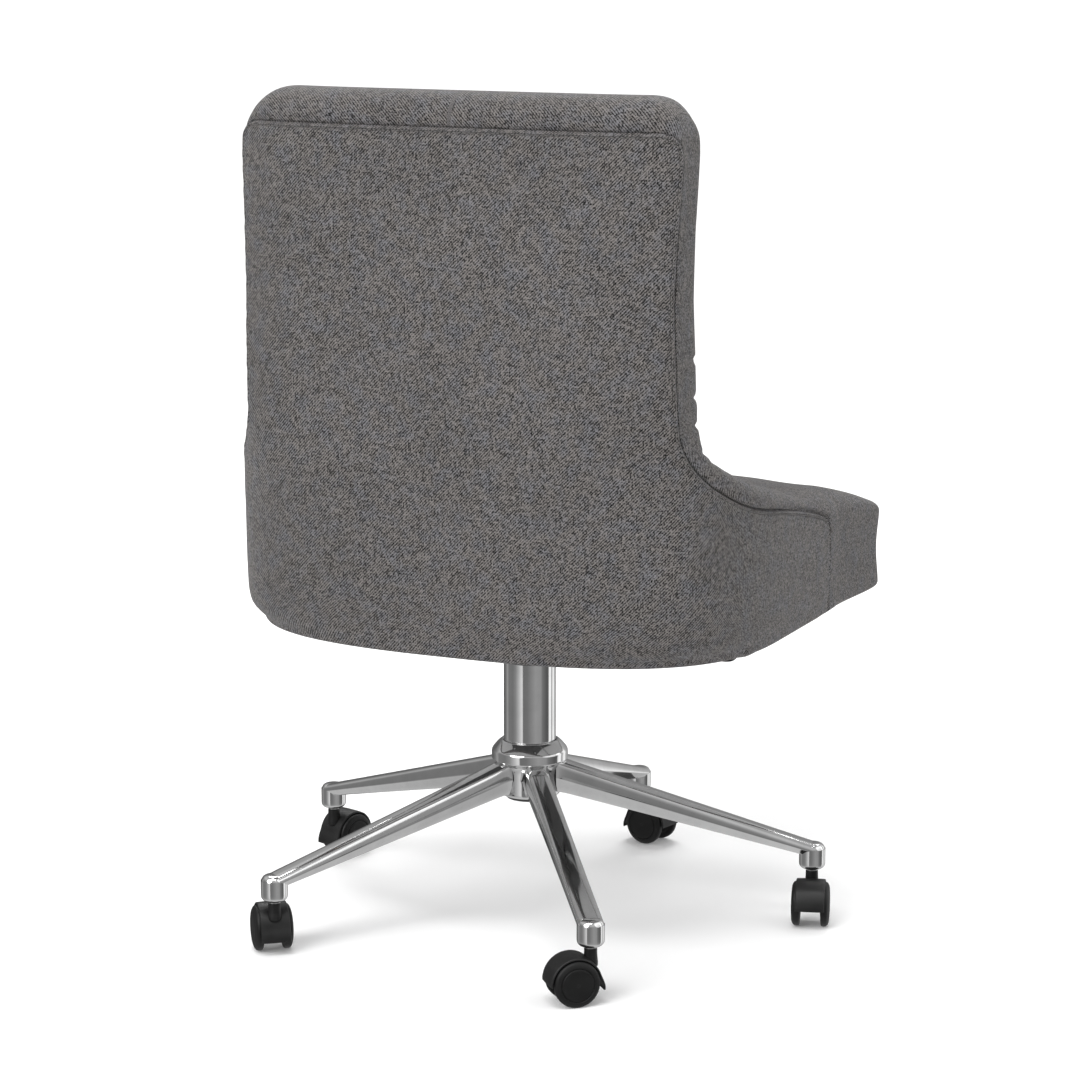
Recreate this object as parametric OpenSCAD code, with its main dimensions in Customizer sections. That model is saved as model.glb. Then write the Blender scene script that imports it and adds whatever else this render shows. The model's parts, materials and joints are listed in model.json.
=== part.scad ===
// Swivel chair with an upholstered tub seat on a five-arm castor base.
// Millimetres, +Z up. The origin is on the floor, on the swivel axis.
// The sitter faces -Y, and +X is the sitter's left.

/* [Seat shell] */
// Half width of the seat, over the outside panels
seat_half_w = 283; // [270:1:300]
// Furthest point of the rear face behind the swivel axis
rear_y = 204; // [196:1:212]
// Front face of the seat ahead of the swivel axis
front_reach = 366; // [340:1:380]
// Height of the bottom edge of the upholstery, seat at its lowest
rim_z = 325; // [322:1:328]
// Thickness of the padded outside panel
panel_t = 12; // [10:1:14]
// Height of the top of the back
crest_z = 896; // [880:1:915]
// Height of the seam across the top of the rear panel
top_seam_z = 857; // [845:1:865]
// Half width of the back between its side faces
back_half_w = 238; // [232:1:244]
// Distance of the back pad's face behind the swivel axis
back_face_y = 92; // [85:1:100]

/* [Column] */
// Radius of the bright outer sleeve
sleeve_r = 28; // [27:0.5:29]
// Radius of the gas lift's outer tube
lift_r = 25; // [24.5:0.5:25.5]
// Radius of the pressure tube
tube_r = 14; // [14:0.5:14.5]
// Radius of the piston rod
rod_r = 5; // [4:0.5:5.5]
// Radial running clearance of every fit that turns or slides
run_gap = 0.06; // [0.03:0.01:0.09]

/* [Base] */
// Radius of the circle that the castor stems stand on
stem_circle_r = 304; // [290:1:315]
// Height of the underside of the castor posts
post_z = 58; // [56:1:60]
// Radius of the castor posts
post_r = 14; // [13:0.5:15]

/* [Castors] */
// Radius of a castor wheel
wheel_r = 23.7; // [23:0.1:24.5]
// Overall width of a pair of wheels
castor_w = 40.8; // [39:0.2:42]
// Distance of the axle from the swivel stem
castor_trail = 19; // [17:0.5:21]
// Radius of the castor stem
stem_r = 5.5; // [5:0.1:5.6]

/* [Hidden] */
arm_count = 5;
arm_angles = [for (i = [0 : arm_count - 1]) 54 + i * 360 / arm_count];
// The way each castor trails, seen from above
castor_angles = [309, 42, 107, 167, 252];
hub_low_z = 132;
hub_top_z = 192;
sleeve_top_z = 280;
tube_low_z = 140;
tube_wall = 1.5;
tube_top_z = 305;
piston_z = 276;
mech_low_z = 287;
flange_z = 322.4;
flange_t = 3;
bolt_spacing = 150;
bolt_r = 3;
cover_t = 1.4;
board_z = rim_z + 2;
board_t = 12;
deck_z = board_z + board_t;
rail_top_z = 404;
pad_low_z = 407;
lever_y = 8;
lever_z = 314;
lever_pivot_x = -40;
// Slope of the lever's outer part, from straight up
lever_turn = -95.7;
paddle_z = 306;
// The plan of the seat is straight at the sides and rounds into the rear from this line
straight_y = -20;
side_front_y = -157;
corner_r = 39;
front_step = 5;
pad_n = 3.4;
frame_inset = panel_t + 1;
round_fn = 64;

function arm_angle(i) = arm_angles[i];

// Half of a rounded U in plan: half width w, rear depth from straight_y, squareness n
function u_half(w, y_rear, n) = [
    for (a = [0 : 6 : 90])
        [w * pow(cos(a), 2 / n), straight_y + (y_rear - straight_y) * pow(sin(a), 2 / n)]
];
function mirrored(points) = [for (i = [len(points) - 1 : -1 : 0]) [-points[i][0], points[i][1]]];
// Closed outline of the seat shell in plan, set in by inset all round except at the front
function u_plan(inset, n) = let (
    half = u_half(seat_half_w - inset, rear_y - inset, n)
) concat(
    [[seat_half_w - inset, side_front_y]],
    half,
    mirrored(half),
    [[-(seat_half_w - inset), side_front_y]]
);
upper_n = 4.5;
lower_n = 2.65;
corner_z = 470;

// The seam line seen from the side: along the arm, up the wing and up the back
seam_yz = [
    [-157, 405],
    [-152, 424],
    [-138, 434],
    [-90, 446],
    [-4, 463],
    [67, 476],
    [120, 494],
    [146, 510],
    [163, 528],
    [173, 549],
    [177, 582],
    [178, 640]
];

// ---------------------------------------------------------------- shared shapes

module ring(outer_r, inner_r, z0, z1) {
    translate([0, 0, z0]) difference() {
        cylinder(r = outer_r, h = z1 - z0, $fn = round_fn);
        translate([0, 0, -1]) cylinder(r = inner_r, h = z1 - z0 + 2, $fn = round_fn);
    }
}

module disc(r, z0, z1) {
    translate([0, 0, z0]) cylinder(r = r, h = z1 - z0, $fn = round_fn);
}

// The seat shell's full solid, rounder at the floor side's rear corners than higher up
module shell_solid(inset, z0, z1) {
    hull() {
        translate([0, 0, z0]) linear_extrude(1) polygon(u_plan(inset, lower_n));
        translate([0, 0, corner_z]) linear_extrude(1) polygon(u_plan(inset, upper_n));
    }
    translate([0, 0, corner_z]) linear_extrude(z1 - corner_z) polygon(u_plan(inset, upper_n));
}

// Everything below the seam line, as a bar across the whole width
module below_seam(z0, lift = 0) {
    outline = concat(
        [[side_front_y, z0]],
        [for (p = seam_yz) [p[0], p[1] + lift]],
        [[rear_y - 26, top_seam_z], [rear_y + 5, top_seam_z], [rear_y + 5, z0]]
    );
    rotate([90, 0, 90]) translate([0, 0, -300]) linear_extrude(600) polygon(outline);
}

module rounded_rect(x0, y0, x1, y1, r) {
    hull() {
        for (x = [x0 + r, x1 - r])
            for (y = [y0 + r, y1 - r])
                translate([x, y]) circle(r = r, $fn = 32);
    }
}

// Places children at each castor post
module at_posts() {
    for (i = [0 : arm_count - 1]) rotate(arm_angle(i)) translate([stem_circle_r, 0, 0]) children();
}

// Places children at one castor's stem, turned the way the castor trails
module at_castor(i) {
    a = arm_angle(i);
    translate([stem_circle_r * cos(a), stem_circle_r * sin(a), 0]) rotate(castor_angles[i]) children();
}

// ---------------------------------------------------------------- base

// Section of an arm: a rounded top on straight sides and a flat underside
function arm_section(w, low, high) = let (
    shoulder = low + (high - low) * 0.45
) concat(
    [[-w * 0.8, low], [w * 0.8, low], [w, low + (high - low) * 0.12]],
    [for (a = [0 : 15 : 180]) [w * cos(a), shoulder + (high - shoulder) * sin(a)]],
    [[-w, low + (high - low) * 0.12]]
);

module arm_slice(s, w, low, high) {
    translate([s, 0, 0]) rotate([90, 0, 90]) linear_extrude(1) polygon(arm_section(w, low, high));
}

module arm() {
    hull() {
        arm_slice(24, 15.5, 133, 176);
        arm_slice(stem_circle_r - 4, 13, post_z + 15, post_z + 28);
    }
}

module post() {
    rotate_extrude($fn = round_fn) polygon([
        [0, post_z],
        [post_r - 3, post_z],
        [post_r, post_z + 3],
        [post_r, post_z + 24],
        [post_r - 4, post_z + 28],
        [0, post_z + 28]
    ]);
}

module hub() {
    rotate_extrude($fn = round_fn) polygon([
        [0, hub_low_z],
        [30, hub_low_z],
        [33, hub_low_z + 3],
        [33, 165],
        [36, 168],
        [41, 172],
        [41, 181],
        [30, hub_top_z],
        [0, hub_top_z]
    ]);
}

module star_base() {
    color("silver") difference() {
        union() {
            hub();
            for (i = [0 : arm_count - 1]) rotate(arm_angle(i)) arm();
            at_posts() post();
        }
        disc(lift_r, hub_low_z - 1, hub_top_z + 1);
        at_posts() disc(stem_r + 1.5, post_z - 1, post_z + 25);
    }
}

module stem_sockets() {
    color("black") at_posts() ring(stem_r + 1.5, stem_r + run_gap, post_z, post_z + 25);
}

module column_sleeve() {
    color("silver") ring(sleeve_r, lift_r, hub_top_z, sleeve_top_z);
}

module lift_outer_tube() {
    color("dimgray") difference() {
        disc(lift_r, hub_low_z - 4, sleeve_top_z);
        disc(lift_r - 2, hub_low_z, sleeve_top_z + 1);
        disc(rod_r + run_gap, hub_low_z - 5, hub_low_z + 1);
    }
}

module guide_bush() {
    color("black") {
        ring(lift_r - 2, tube_r + run_gap, sleeve_top_z - 74, sleeve_top_z);
        ring(lift_r - 0.5, tube_r + run_gap, sleeve_top_z, sleeve_top_z + 3);
    }
}

thrust_race_r = 13;
module thrust_bearing() {
    color("lightsteelblue") {
        ring(thrust_race_r, rod_r + 0.5, hub_low_z, hub_low_z + 0.8);
        for (a = [0 : 36 : 324]) rotate(a) translate([9, 0, hub_low_z + 1.83]) sphere(r = 1, $fn = 24);
    }
}

// ---------------------------------------------------------------- piston rod

module piston_rod() {
    color("silver") disc(rod_r, hub_low_z - 8, piston_z);
}

module rod_collar() {
    color("gray") ring(thrust_race_r, rod_r, hub_low_z + 2.86, hub_low_z + 5);
}

module rod_clip() {
    color("gray") ring(rod_r + 3, rod_r, hub_low_z - 6, hub_low_z - 4.1);
}

module lift_piston() {
    color("gray") disc(tube_r - tube_wall - run_gap, piston_z, piston_z + 10);
}

// ---------------------------------------------------------------- seat mechanism

module pressure_tube() {
    color("silver") difference() {
        disc(tube_r, tube_low_z, tube_top_z);
        disc(tube_r - tube_wall, tube_low_z - 1, tube_top_z - 8);
        disc(3 + run_gap, tube_top_z - 9, tube_top_z + 1);
    }
}

module rod_gland() {
    color("black") ring(tube_r - tube_wall, rod_r + run_gap, tube_low_z, tube_low_z + 14);
}

module valve_pin() {
    color("silver") disc(3, tube_top_z - 6, tube_top_z + 6);
}

module mechanism_plate() {
    color("black") difference() {
        union() {
            translate([-95, -95, flange_z]) cube([190, 190, flange_t]);
            translate([-60, -50, mech_low_z]) cube([120, 100, flange_z - mech_low_z]);
        }
        translate([-57, -47, mech_low_z + 3]) cube([114, 94, 60]);
        disc(tube_r, mech_low_z - 1, mech_low_z + 4);
        translate([-62, lever_y, lever_z - 2]) rotate([0, 90, 0]) cylinder(r = 9, h = 8, $fn = 32);
        for (x = [-1, 1]) for (y = [-1, 1])
            translate([x * bolt_spacing / 2, y * bolt_spacing / 2, 0])
                disc(bolt_r + 0.3, flange_z - 1, flange_z + flange_t + 1);
    }
}

module cone_socket() {
    color("dimgray") ring(tube_r + 5, tube_r, mech_low_z + 3, tube_top_z - 2);
}

module lever_bracket() {
    color("dimgray") for (y = [lever_y - 14, lever_y + 10])
        difference() {
            translate([lever_pivot_x - 8, y, mech_low_z + 3]) cube([16, 4, lever_z - mech_low_z + 4]);
            translate([lever_pivot_x, y - 1, lever_z]) rotate([-90, 0, 0]) cylinder(r = 3, h = 6, $fn = 32);
        }
}

module lever_pin() {
    color("silver") translate([lever_pivot_x, lever_y - 15, lever_z])
        rotate([-90, 0, 0]) cylinder(r = 3, h = 30, $fn = 32);
}

bend_x = -120;
module lever_rod() {
    color("silver") difference() {
        union() {
            translate([bend_x, lever_y, lever_z]) rotate([0, 90, 0])
                cylinder(r = 4, h = lever_pivot_x - 9 - bend_x, $fn = 32);
            translate([bend_x, lever_y, lever_z]) sphere(r = 4.8, $fn = 32);
            translate([bend_x, lever_y, lever_z]) rotate([0, lever_turn, 0]) cylinder(r = 4, h = 80, $fn = 32);
            translate([lever_pivot_x - 9, lever_y - 7, lever_z - 6]) cube([18, 14, 12]);
            translate([lever_pivot_x, lever_y - 5, lever_z - 2.7]) cube([-lever_pivot_x + 5, 10, 5]);
            translate([-5, -6, lever_z - 2.7]) cube([10, 12, 5]);
        }
        translate([lever_pivot_x, lever_y - 8, lever_z]) rotate([-90, 0, 0])
            cylinder(r = 3 + run_gap, h = 16, $fn = 32);
    }
}

module lever_paddle() {
    color("black") difference() {
        translate([0, 0, paddle_z - 4.5]) linear_extrude(9) translate([0, lever_y])
            rounded_rect(-250, -13, -180, 13, 9);
        translate([bend_x, lever_y, lever_z]) rotate([0, lever_turn, 0]) cylinder(r = 4, h = 80, $fn = 32);
    }
}

module plate_bolts() {
    color("gray") for (x = [-1, 1]) for (y = [-1, 1])
        translate([x * bolt_spacing / 2, y * bolt_spacing / 2, 0]) {
            disc(bolt_r, flange_z, deck_z + 1.5);
            difference() {
                disc(5.5, flange_z - 4.5, flange_z);
                translate([0, 0, flange_z - 5]) cylinder(r = 3, h = 3, $fn = 6);
            }
        }
}

module tee_nuts() {
    color("gray") for (x = [-1, 1]) for (y = [-1, 1])
        translate([x * bolt_spacing / 2, y * bolt_spacing / 2, 0]) ring(10, bolt_r, deck_z, deck_z + 1.5);
}

// ---------------------------------------------------------------- seat and back frame

// Rounded front corner of the seat in plan
function front_corner(w, y_front, r) = [
    for (a = [-90 : 15 : 0]) [w - r + r * cos(a), y_front + r + r * sin(a)]
];
// The whole seat in plan. The front is stepped in from the side panels by front_step.
module seat_plan(inset, n) {
    half = concat(
        front_corner(seat_half_w - inset, -front_reach + inset - front_step, max(12, corner_r - inset)),
        u_half(seat_half_w - inset, rear_y - inset, n)
    );
    polygon(concat(half, mirrored(half)));
}

module dust_cover() {
    color("black") difference() {
        translate([0, 0, board_z - cover_t]) linear_extrude(cover_t) seat_plan(frame_inset + 12, lower_n);
        for (x = [-1, 1]) for (y = [-1, 1])
            translate([x * bolt_spacing / 2, y * bolt_spacing / 2, 0]) disc(bolt_r + 0.4, board_z - 3, board_z + 1);
        disc(40, board_z - 3, board_z + 1);
    }
}

module seat_board() {
    color("burlywood") difference() {
        translate([0, 0, board_z]) linear_extrude(board_t) seat_plan(frame_inset + 4, lower_n);
        for (x = [-1, 1]) for (y = [-1, 1])
            translate([x * bolt_spacing / 2, y * bolt_spacing / 2, 0]) disc(bolt_r + 0.4, board_z - 1, deck_z + 1);
        disc(40, board_z - 1, deck_z + 1);
    }
}

module seat_frame() {
    color("tan") translate([0, 0, deck_z]) linear_extrude(rail_top_z - deck_z) difference() {
        seat_plan(frame_inset + 4, lower_n);
        seat_plan(frame_inset + 24, lower_n);
    }
}

module seat_webbing() {
    color("dimgray") {
        for (x = [-160 : 80 : 160])
            translate([x - 25, -front_reach + 22, rail_top_z]) cube([50, 500, 1.2]);
        for (y = [-260 : 90 : 10])
            translate([-262, y - 25, rail_top_z + 1.2]) cube([524, 50, 1.2]);
    }
}

module back_frame() {
    color("tan") {
        for (x = [-205, 165]) translate([x, 120, deck_z + 67]) cube([40, 36, 434]);
        translate([-205, 120, deck_z + 501]) cube([410, 36, 30]);
        translate([-165, 128, deck_z + 90]) cube([330, 24, 40]);
    }
}

module back_board() {
    color("burlywood") translate([-205, 156.5, deck_z + 67]) cube([410, 5, 464]);
}

// ---------------------------------------------------------------- upholstery

module outer_panel() {
    color("gray") intersection() {
        difference() {
            shell_solid(0, rim_z, top_seam_z + 10);
            translate([0, 0, -1]) shell_solid(panel_t, rim_z, top_seam_z + 20);
        }
        below_seam(rim_z);
    }
}

// Outline of the back pad from above: straight face, round front corners, shallow round rear
module back_plan(rear) {
    front_r = 40;
    hull() {
        for (side = [-1, 1])
            translate([side * (back_half_w - front_r), back_face_y + front_r]) circle(r = front_r, $fn = 48);
        translate([-(back_half_w - 2), rear - 60]) square([2 * back_half_w - 4, 12]);
        translate([-(back_half_w - 40), rear - 20]) square([2 * back_half_w - 80, 6]);
        translate([-60, rear - 1]) square([120, 1]);
    }
}

module front_view_of_back() {
    rotate([90, 0, 0]) translate([0, 0, -rear_y - 20]) linear_extrude(200)
        rounded_rect(-back_half_w, pad_low_z + 2, back_half_w, crest_z, 38);
}

// The wings fill the shell's rear corners beside the back, up to just over the seam
module wings() {
    intersection() {
        shell_solid(panel_t + 0.5, rim_z, top_seam_z);
        below_seam(pad_low_z, 10);
        translate([-280, back_face_y, pad_low_z]) cube([560, 100, 190]);
    }
}

module back_pad() {
    color("gray") difference() {
        union() {
            intersection() {
                front_view_of_back();
                union() {
                    translate([0, 0, pad_low_z]) linear_extrude(top_seam_z + 3 - pad_low_z)
                        back_plan(rear_y - panel_t - 2);
                    translate([0, 0, top_seam_z + 3]) linear_extrude(crest_z - top_seam_z)
                        back_plan(rear_y - 2);
                }
            }
            wings();
        }
        translate([-206, 119, pad_low_z - 10]) cube([412, 44, 475]);
        outer_panel();
    }
}

// Seat pad's top line from the back pad to the front edge, seen from the side
pad_top_yz = [
    [back_face_y, 476],
    [0, 474],
    [-133, 466],
    [-216, 453],
    [-290, 437],
    [-335, 421],
    [-354, 409]
];
// The front edge rolls over from the pad's top line into the front face
front_edge_yz = [
    [-356, pad_low_z],
    [-361, 397],
    [-front_reach, 384]
];

module pad_side_view(low) {
    rotate([90, 0, 90]) translate([0, 0, -300]) linear_extrude(600)
        polygon(concat(pad_top_yz, [[-354, low], [back_face_y, low]]));
}

// The seat pad's section across the seat, with rounded shoulders
module pad_front_view() {
    rotate([90, 0, 0]) translate([0, 0, -120]) linear_extrude(600) polygon(concat(
        [[seat_half_w - 2, rim_z]],
        [for (a = [0 : 15 : 90]) [seat_half_w - 48 + 46 * cos(a), 436 + 38 * sin(a)]],
        [[0, 480]],
        [for (a = [90 : 15 : 180]) [-(seat_half_w - 48) + 46 * cos(a), 436 + 38 * sin(a)]],
        [[-(seat_half_w - 2), rim_z]]
    ));
}

module pad_plan(low, high) {
    translate([0, 0, low]) linear_extrude(high - low) seat_plan(front_step, pad_n);
}

// The seat's sides rise at the rear to meet the wings
wing_foot_yz = [
    [20, 440],
    [back_face_y, 440],
    [back_face_y, 512],
    [56, 500],
    [20, 479]
];
module wing_feet() {
    for (side = [-1, 1])
        translate([side * 243, 0, 0]) rotate([90, 0, 90]) translate([0, 0, -26])
            linear_extrude(52) polygon(wing_foot_yz);
}

module seat_pad() {
    color("gray") difference() {
        union() {
            intersection() {
                pad_side_view(pad_low_z);
                pad_front_view();
                pad_plan(pad_low_z, 490);
            }
            wing_feet();
        }
        outer_panel();
        translate([-300, back_face_y - 0.3, 0]) cube([600, 100, 900]);
    }
}

module front_apron() {
    color("gray") difference() {
        intersection() {
            pad_plan(rim_z, pad_low_z);
            rotate([90, 0, 90]) translate([0, 0, -300]) linear_extrude(600) polygon(concat(
                [[side_front_y - 0.5, rim_z], [side_front_y - 0.5, pad_low_z]],
                front_edge_yz,
                [[-front_reach, rim_z]]
            ));
        }
        translate([0, 0, rim_z - 1]) linear_extrude(100) seat_plan(frame_inset + 4, lower_n);
    }
}

// Buttons pull the back pad in on a diamond grid
button_rows = [560, 650, 740, 830];
module tuft_buttons() {
    color("gray") for (row = [0 : len(button_rows) - 1])
        for (x = (row % 2 == 0) ? [-144, -48, 48, 144] : [-96, 0, 96])
            translate([x, back_face_y - 4.5, button_rows[row]]) rotate([-90, 0, 0])
                cylinder(r = 11, h = 4.5, $fn = 32);
}

// ---------------------------------------------------------------- castors

module castor_stem(i) {
    color("dimgray") at_castor(i) {
        disc(stem_r, 44, post_z + 22);
        disc(stem_r + 1, post_z - 2, post_z - 0.1);
    }
}

hood_outer_r = 26.8;
hood_inner_r = 24.6;
hood_half_w = 15.6;
wheel_in = 10.6;
module along_axle(half) {
    translate([castor_trail, 0, wheel_r]) rotate([90, 0, 0]) translate([0, 0, -half]) children();
}

module castor_hood(i) {
    color("black") at_castor(i) difference() {
        union() {
            // The fender over both wheels
            difference() {
                along_axle(hood_half_w) cylinder(r = hood_outer_r, h = 2 * hood_half_w, $fn = round_fn);
                along_axle(20) cylinder(r = hood_inner_r, h = 40, $fn = round_fn);
                translate([-20, -30, -10]) cube([80, 60, 10 + 17]);
            }
            // The web between the wheels, which carries the axle
            intersection() {
                along_axle(wheel_in - 1) cylinder(r = hood_outer_r - 1, h = 2 * wheel_in - 2, $fn = round_fn);
                translate([-20, -30, 14]) cube([80, 60, 60]);
            }
            disc(stem_r + 1, 36, post_z - 2);
        }
        disc(stem_r, 43.9, post_z + 1);
        along_axle(20) cylinder(r = 3, h = 40, $fn = 32);
    }
}

module castor_axle(i) {
    color("silver") at_castor(i) along_axle(wheel_in + 7) cylinder(r = 3, h = 2 * wheel_in + 14, $fn = 32);
}

// One wheel: a narrow tread, a domed face with a recessed ring, and a blind axle bore
module castor_wheel(i, side) {
    outer = castor_w / 2;
    color("black") at_castor(i) translate([castor_trail, 0, wheel_r]) rotate([side * -90, 0, 0])
        rotate_extrude($fn = round_fn) polygon([
            [3 + run_gap, wheel_in],
            [wheel_r - 1.2, wheel_in],
            [wheel_r, wheel_in + 1.2],
            [wheel_r, wheel_in + 6.4],
            [wheel_r - 1.4, wheel_in + 7.9],
            [wheel_r - 5, outer - 0.5],
            [wheel_r - 6, outer - 1],
            [wheel_r - 7, outer - 0.4],
            [0, outer],
            [0, wheel_in + 7.3],
            [3 + run_gap, wheel_in + 7.3]
        ]);
}

star_base();
stem_sockets();
column_sleeve();
lift_outer_tube();
guide_bush();
thrust_bearing();
piston_rod();
rod_collar();
rod_clip();
lift_piston();
pressure_tube();
rod_gland();
valve_pin();
mechanism_plate();
cone_socket();
lever_bracket();
lever_pin();
lever_rod();
lever_paddle();
plate_bolts();
tee_nuts();
dust_cover();
seat_board();
seat_frame();
seat_webbing();
back_frame();
back_board();
outer_panel();
back_pad();
seat_pad();
front_apron();
tuft_buttons();
for (i = [0 : arm_count - 1]) {
    castor_stem(i);
    castor_hood(i);
    castor_axle(i);
    castor_wheel(i, 1);
    castor_wheel(i, -1);
}
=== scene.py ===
"""A swivel chair with an upholstered tub seat on a polished five-arm castor base.

Lengths in this file are millimetres until a mesh is made, +Z is up, the sitter faces -Y and
+X is the sitter's left. The frame's own boxes give the places of the hub, column and castors.
"""
import json
import math

import bpy
import numpy as np
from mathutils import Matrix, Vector
from mathutils.geometry import delaunay_2d_cdt


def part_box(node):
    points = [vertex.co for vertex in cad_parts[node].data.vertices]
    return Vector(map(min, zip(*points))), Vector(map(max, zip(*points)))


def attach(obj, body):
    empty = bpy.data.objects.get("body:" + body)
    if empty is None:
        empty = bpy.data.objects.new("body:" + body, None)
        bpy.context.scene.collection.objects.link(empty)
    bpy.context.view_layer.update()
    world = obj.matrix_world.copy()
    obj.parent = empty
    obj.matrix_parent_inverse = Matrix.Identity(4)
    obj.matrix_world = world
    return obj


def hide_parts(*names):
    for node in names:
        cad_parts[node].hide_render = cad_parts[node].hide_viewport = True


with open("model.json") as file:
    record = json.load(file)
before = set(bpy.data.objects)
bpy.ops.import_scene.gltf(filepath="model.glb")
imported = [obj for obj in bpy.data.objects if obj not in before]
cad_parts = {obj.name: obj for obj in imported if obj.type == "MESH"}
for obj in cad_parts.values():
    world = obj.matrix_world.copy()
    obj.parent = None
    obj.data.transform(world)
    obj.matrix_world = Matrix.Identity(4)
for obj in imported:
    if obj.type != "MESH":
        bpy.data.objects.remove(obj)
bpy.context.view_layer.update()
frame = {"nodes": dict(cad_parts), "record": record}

MM = 0.001


def node_box(name):
    """Lowest and highest corner of a CAD node, in millimetres."""
    low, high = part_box(name)
    return np.array(low) / MM, np.array(high) / MM


# ------------------------------------------------------------------ camera, floor and light

AIM = Vector((-0.0099, -0.0045, 0.4088))
CAMERA_AZIMUTH = 204.4
CAMERA_ELEVATION = 11.25
CAMERA_DISTANCE = 3.507
LENS = 110.25
SENSOR = 36.0


def direction(azimuth, elevation):
    """The way from the object to a viewer or a light. Azimuth 0 is in front of the sitter."""
    a, e = math.radians(azimuth), math.radians(elevation)
    return Vector((math.sin(a) * math.cos(e), -math.cos(a) * math.cos(e), math.sin(e)))


def make_camera():
    camera = bpy.data.objects.new("camera", bpy.data.cameras.new("camera"))
    bpy.context.scene.collection.objects.link(camera)
    camera.data.lens = LENS
    camera.data.sensor_width = SENSOR
    out = direction(CAMERA_AZIMUTH, CAMERA_ELEVATION)
    camera.location = AIM + out * CAMERA_DISTANCE
    camera.rotation_euler = (-out).to_track_quat("-Z", "Y").to_euler()
    bpy.context.scene.camera = camera


FLOOR_HALF = 40.0


def make_floor():
    data = bpy.data.meshes.new("floor")
    corners = [(x * FLOOR_HALF, y * FLOOR_HALF, 0) for x, y in ((-1, -1), (1, -1), (1, 1), (-1, 1))]
    data.from_pydata(corners, [], [(0, 1, 2, 3)])
    floor = bpy.data.objects.new("floor", data)
    bpy.context.scene.collection.objects.link(floor)
    material = bpy.data.materials.new("floor")
    material.use_nodes = True
    shader = material.node_tree.nodes["Principled BSDF"]
    shader.inputs["Base Color"].default_value = (0.86, 0.86, 0.86, 1)
    shader.inputs["Roughness"].default_value = 0.9
    shader.inputs["Specular IOR Level"].default_value = 0.0
    shader.inputs["Emission Color"].default_value = (1, 1, 1, 1)
    shader.inputs["Emission Strength"].default_value = 0.11
    data.materials.append(material)
    floor.visible_glossy = False


# Brightness the polished parts mirror: round the horizon, in degrees right of the camera, and by
# height from straight down (0) to straight up (1).
STUDIO_BANDS = [
    (-180, 0.16), (-147, 0.12), (-128, 0.22), (-116, 0.38), (-106, 0.22), (-80, 0.20), (-65, 0.28),
    (-51, 0.50), (-37, 0.80), (-32, 0.78), (-30, 0.18), (-10, 0.20), (25, 0.36), (50, 0.33),
    (58, 0.20), (80, 0.11), (90, 0.12), (95, 1.10), (106, 1.20), (110, 0.45), (116, 0.50),
    (122, 1.10), (132, 1.10), (138, 0.50), (152, 0.40), (180, 0.16)
]
STUDIO_HEIGHTS = [(0.0, 0.62), (0.2, 0.50), (0.35, 0.30), (0.5, 0.22), (0.62, 0.55), (0.78, 0.75),
                  (1.0, 0.35)]
# Brightness of the light that everything else gets, by height in the same way.
SKY_HEIGHTS = [(0.0, 0.42), (0.38, 0.34), (0.5, 0.28), (0.58, 0.42), (0.80, 0.54), (1.0, 0.56)]
BACKDROP = (0.96, 0.96, 0.96, 1)


def make_world():
    """A grey studio: one sky lights the scene, the polished parts mirror another, which is banded
    near the horizon, and a camera that looks past the floor sees a pale backdrop."""
    world = bpy.data.worlds.new("studio")
    bpy.context.scene.world = world
    world.use_nodes = True
    tree = world.node_tree

    def add(kind, inputs, output=0, **settings):
        made = tree.nodes.new(kind)
        for key, value in settings.items():
            setattr(made, key, value)
        for key, value in inputs.items():
            if isinstance(value, bpy.types.NodeSocket):
                tree.links.new(value, made.inputs[key])
            else:
                made.inputs[key].default_value = value
        return made.outputs[output]

    def calc(operation, *values):
        return add("ShaderNodeMath", dict(enumerate(values)), operation=operation)

    def share(value, low, high):
        return add("ShaderNodeMapRange", {"Value": value, "From Min": low, "From Max": high})

    def mix(factor, first, second):
        return add("ShaderNodeMixRGB", {"Fac": factor, "Color1": first, "Color2": second})

    def ramp(value, stops):
        colour = add("ShaderNodeValToRGB", {"Fac": value})
        elements = colour.node.color_ramp.elements
        for _ in stops[2:]:
            elements.new(0.5)
        for element, (place_at, level) in zip(elements, stops):
            element.position = place_at
            element.color = (level, level, level, 1)
        return colour

    place = tree.nodes.new("ShaderNodeTexCoord").outputs["Generated"]
    split = add("ShaderNodeSeparateXYZ", {0: place}).node.outputs
    height = share(split["Z"], -1.0, 1.0)
    bearing = calc("ARCTAN2", split["X"], calc("MULTIPLY", split["Y"], -1.0))
    from_camera = calc("WRAP", calc("SUBTRACT", bearing, math.radians(CAMERA_AZIMUTH - 360.0)),
                       math.pi, -math.pi)
    bands = ramp(share(from_camera, -math.pi, math.pi),
                 [((degrees + 180) / 360, level) for degrees, level in STUDIO_BANDS])
    steep = share(calc("ABSOLUTE", split["Z"]), 0.25, 0.75)
    mirrored = mix(steep, bands, ramp(height, STUDIO_HEIGHTS))
    ray = tree.nodes.new("ShaderNodeLightPath").outputs
    lit = mix(ray["Is Glossy Ray"], ramp(height, SKY_HEIGHTS), mirrored)
    background = tree.nodes["Background"]
    tree.links.new(mix(ray["Is Camera Ray"], lit, BACKDROP), background.inputs["Color"])
    background.inputs["Strength"].default_value = 1.0


def add_sun(name, azimuth, elevation, strength, angle):
    lamp = bpy.data.lights.new(name, "SUN")
    lamp.energy = strength
    lamp.angle = math.radians(angle)
    sun = bpy.data.objects.new(name, lamp)
    bpy.context.scene.collection.objects.link(sun)
    sun.rotation_euler = (-direction(azimuth, elevation)).to_track_quat("-Z", "Y").to_euler()


SOFTBOX_AIM = Vector((0, 0, 0.35))


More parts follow.
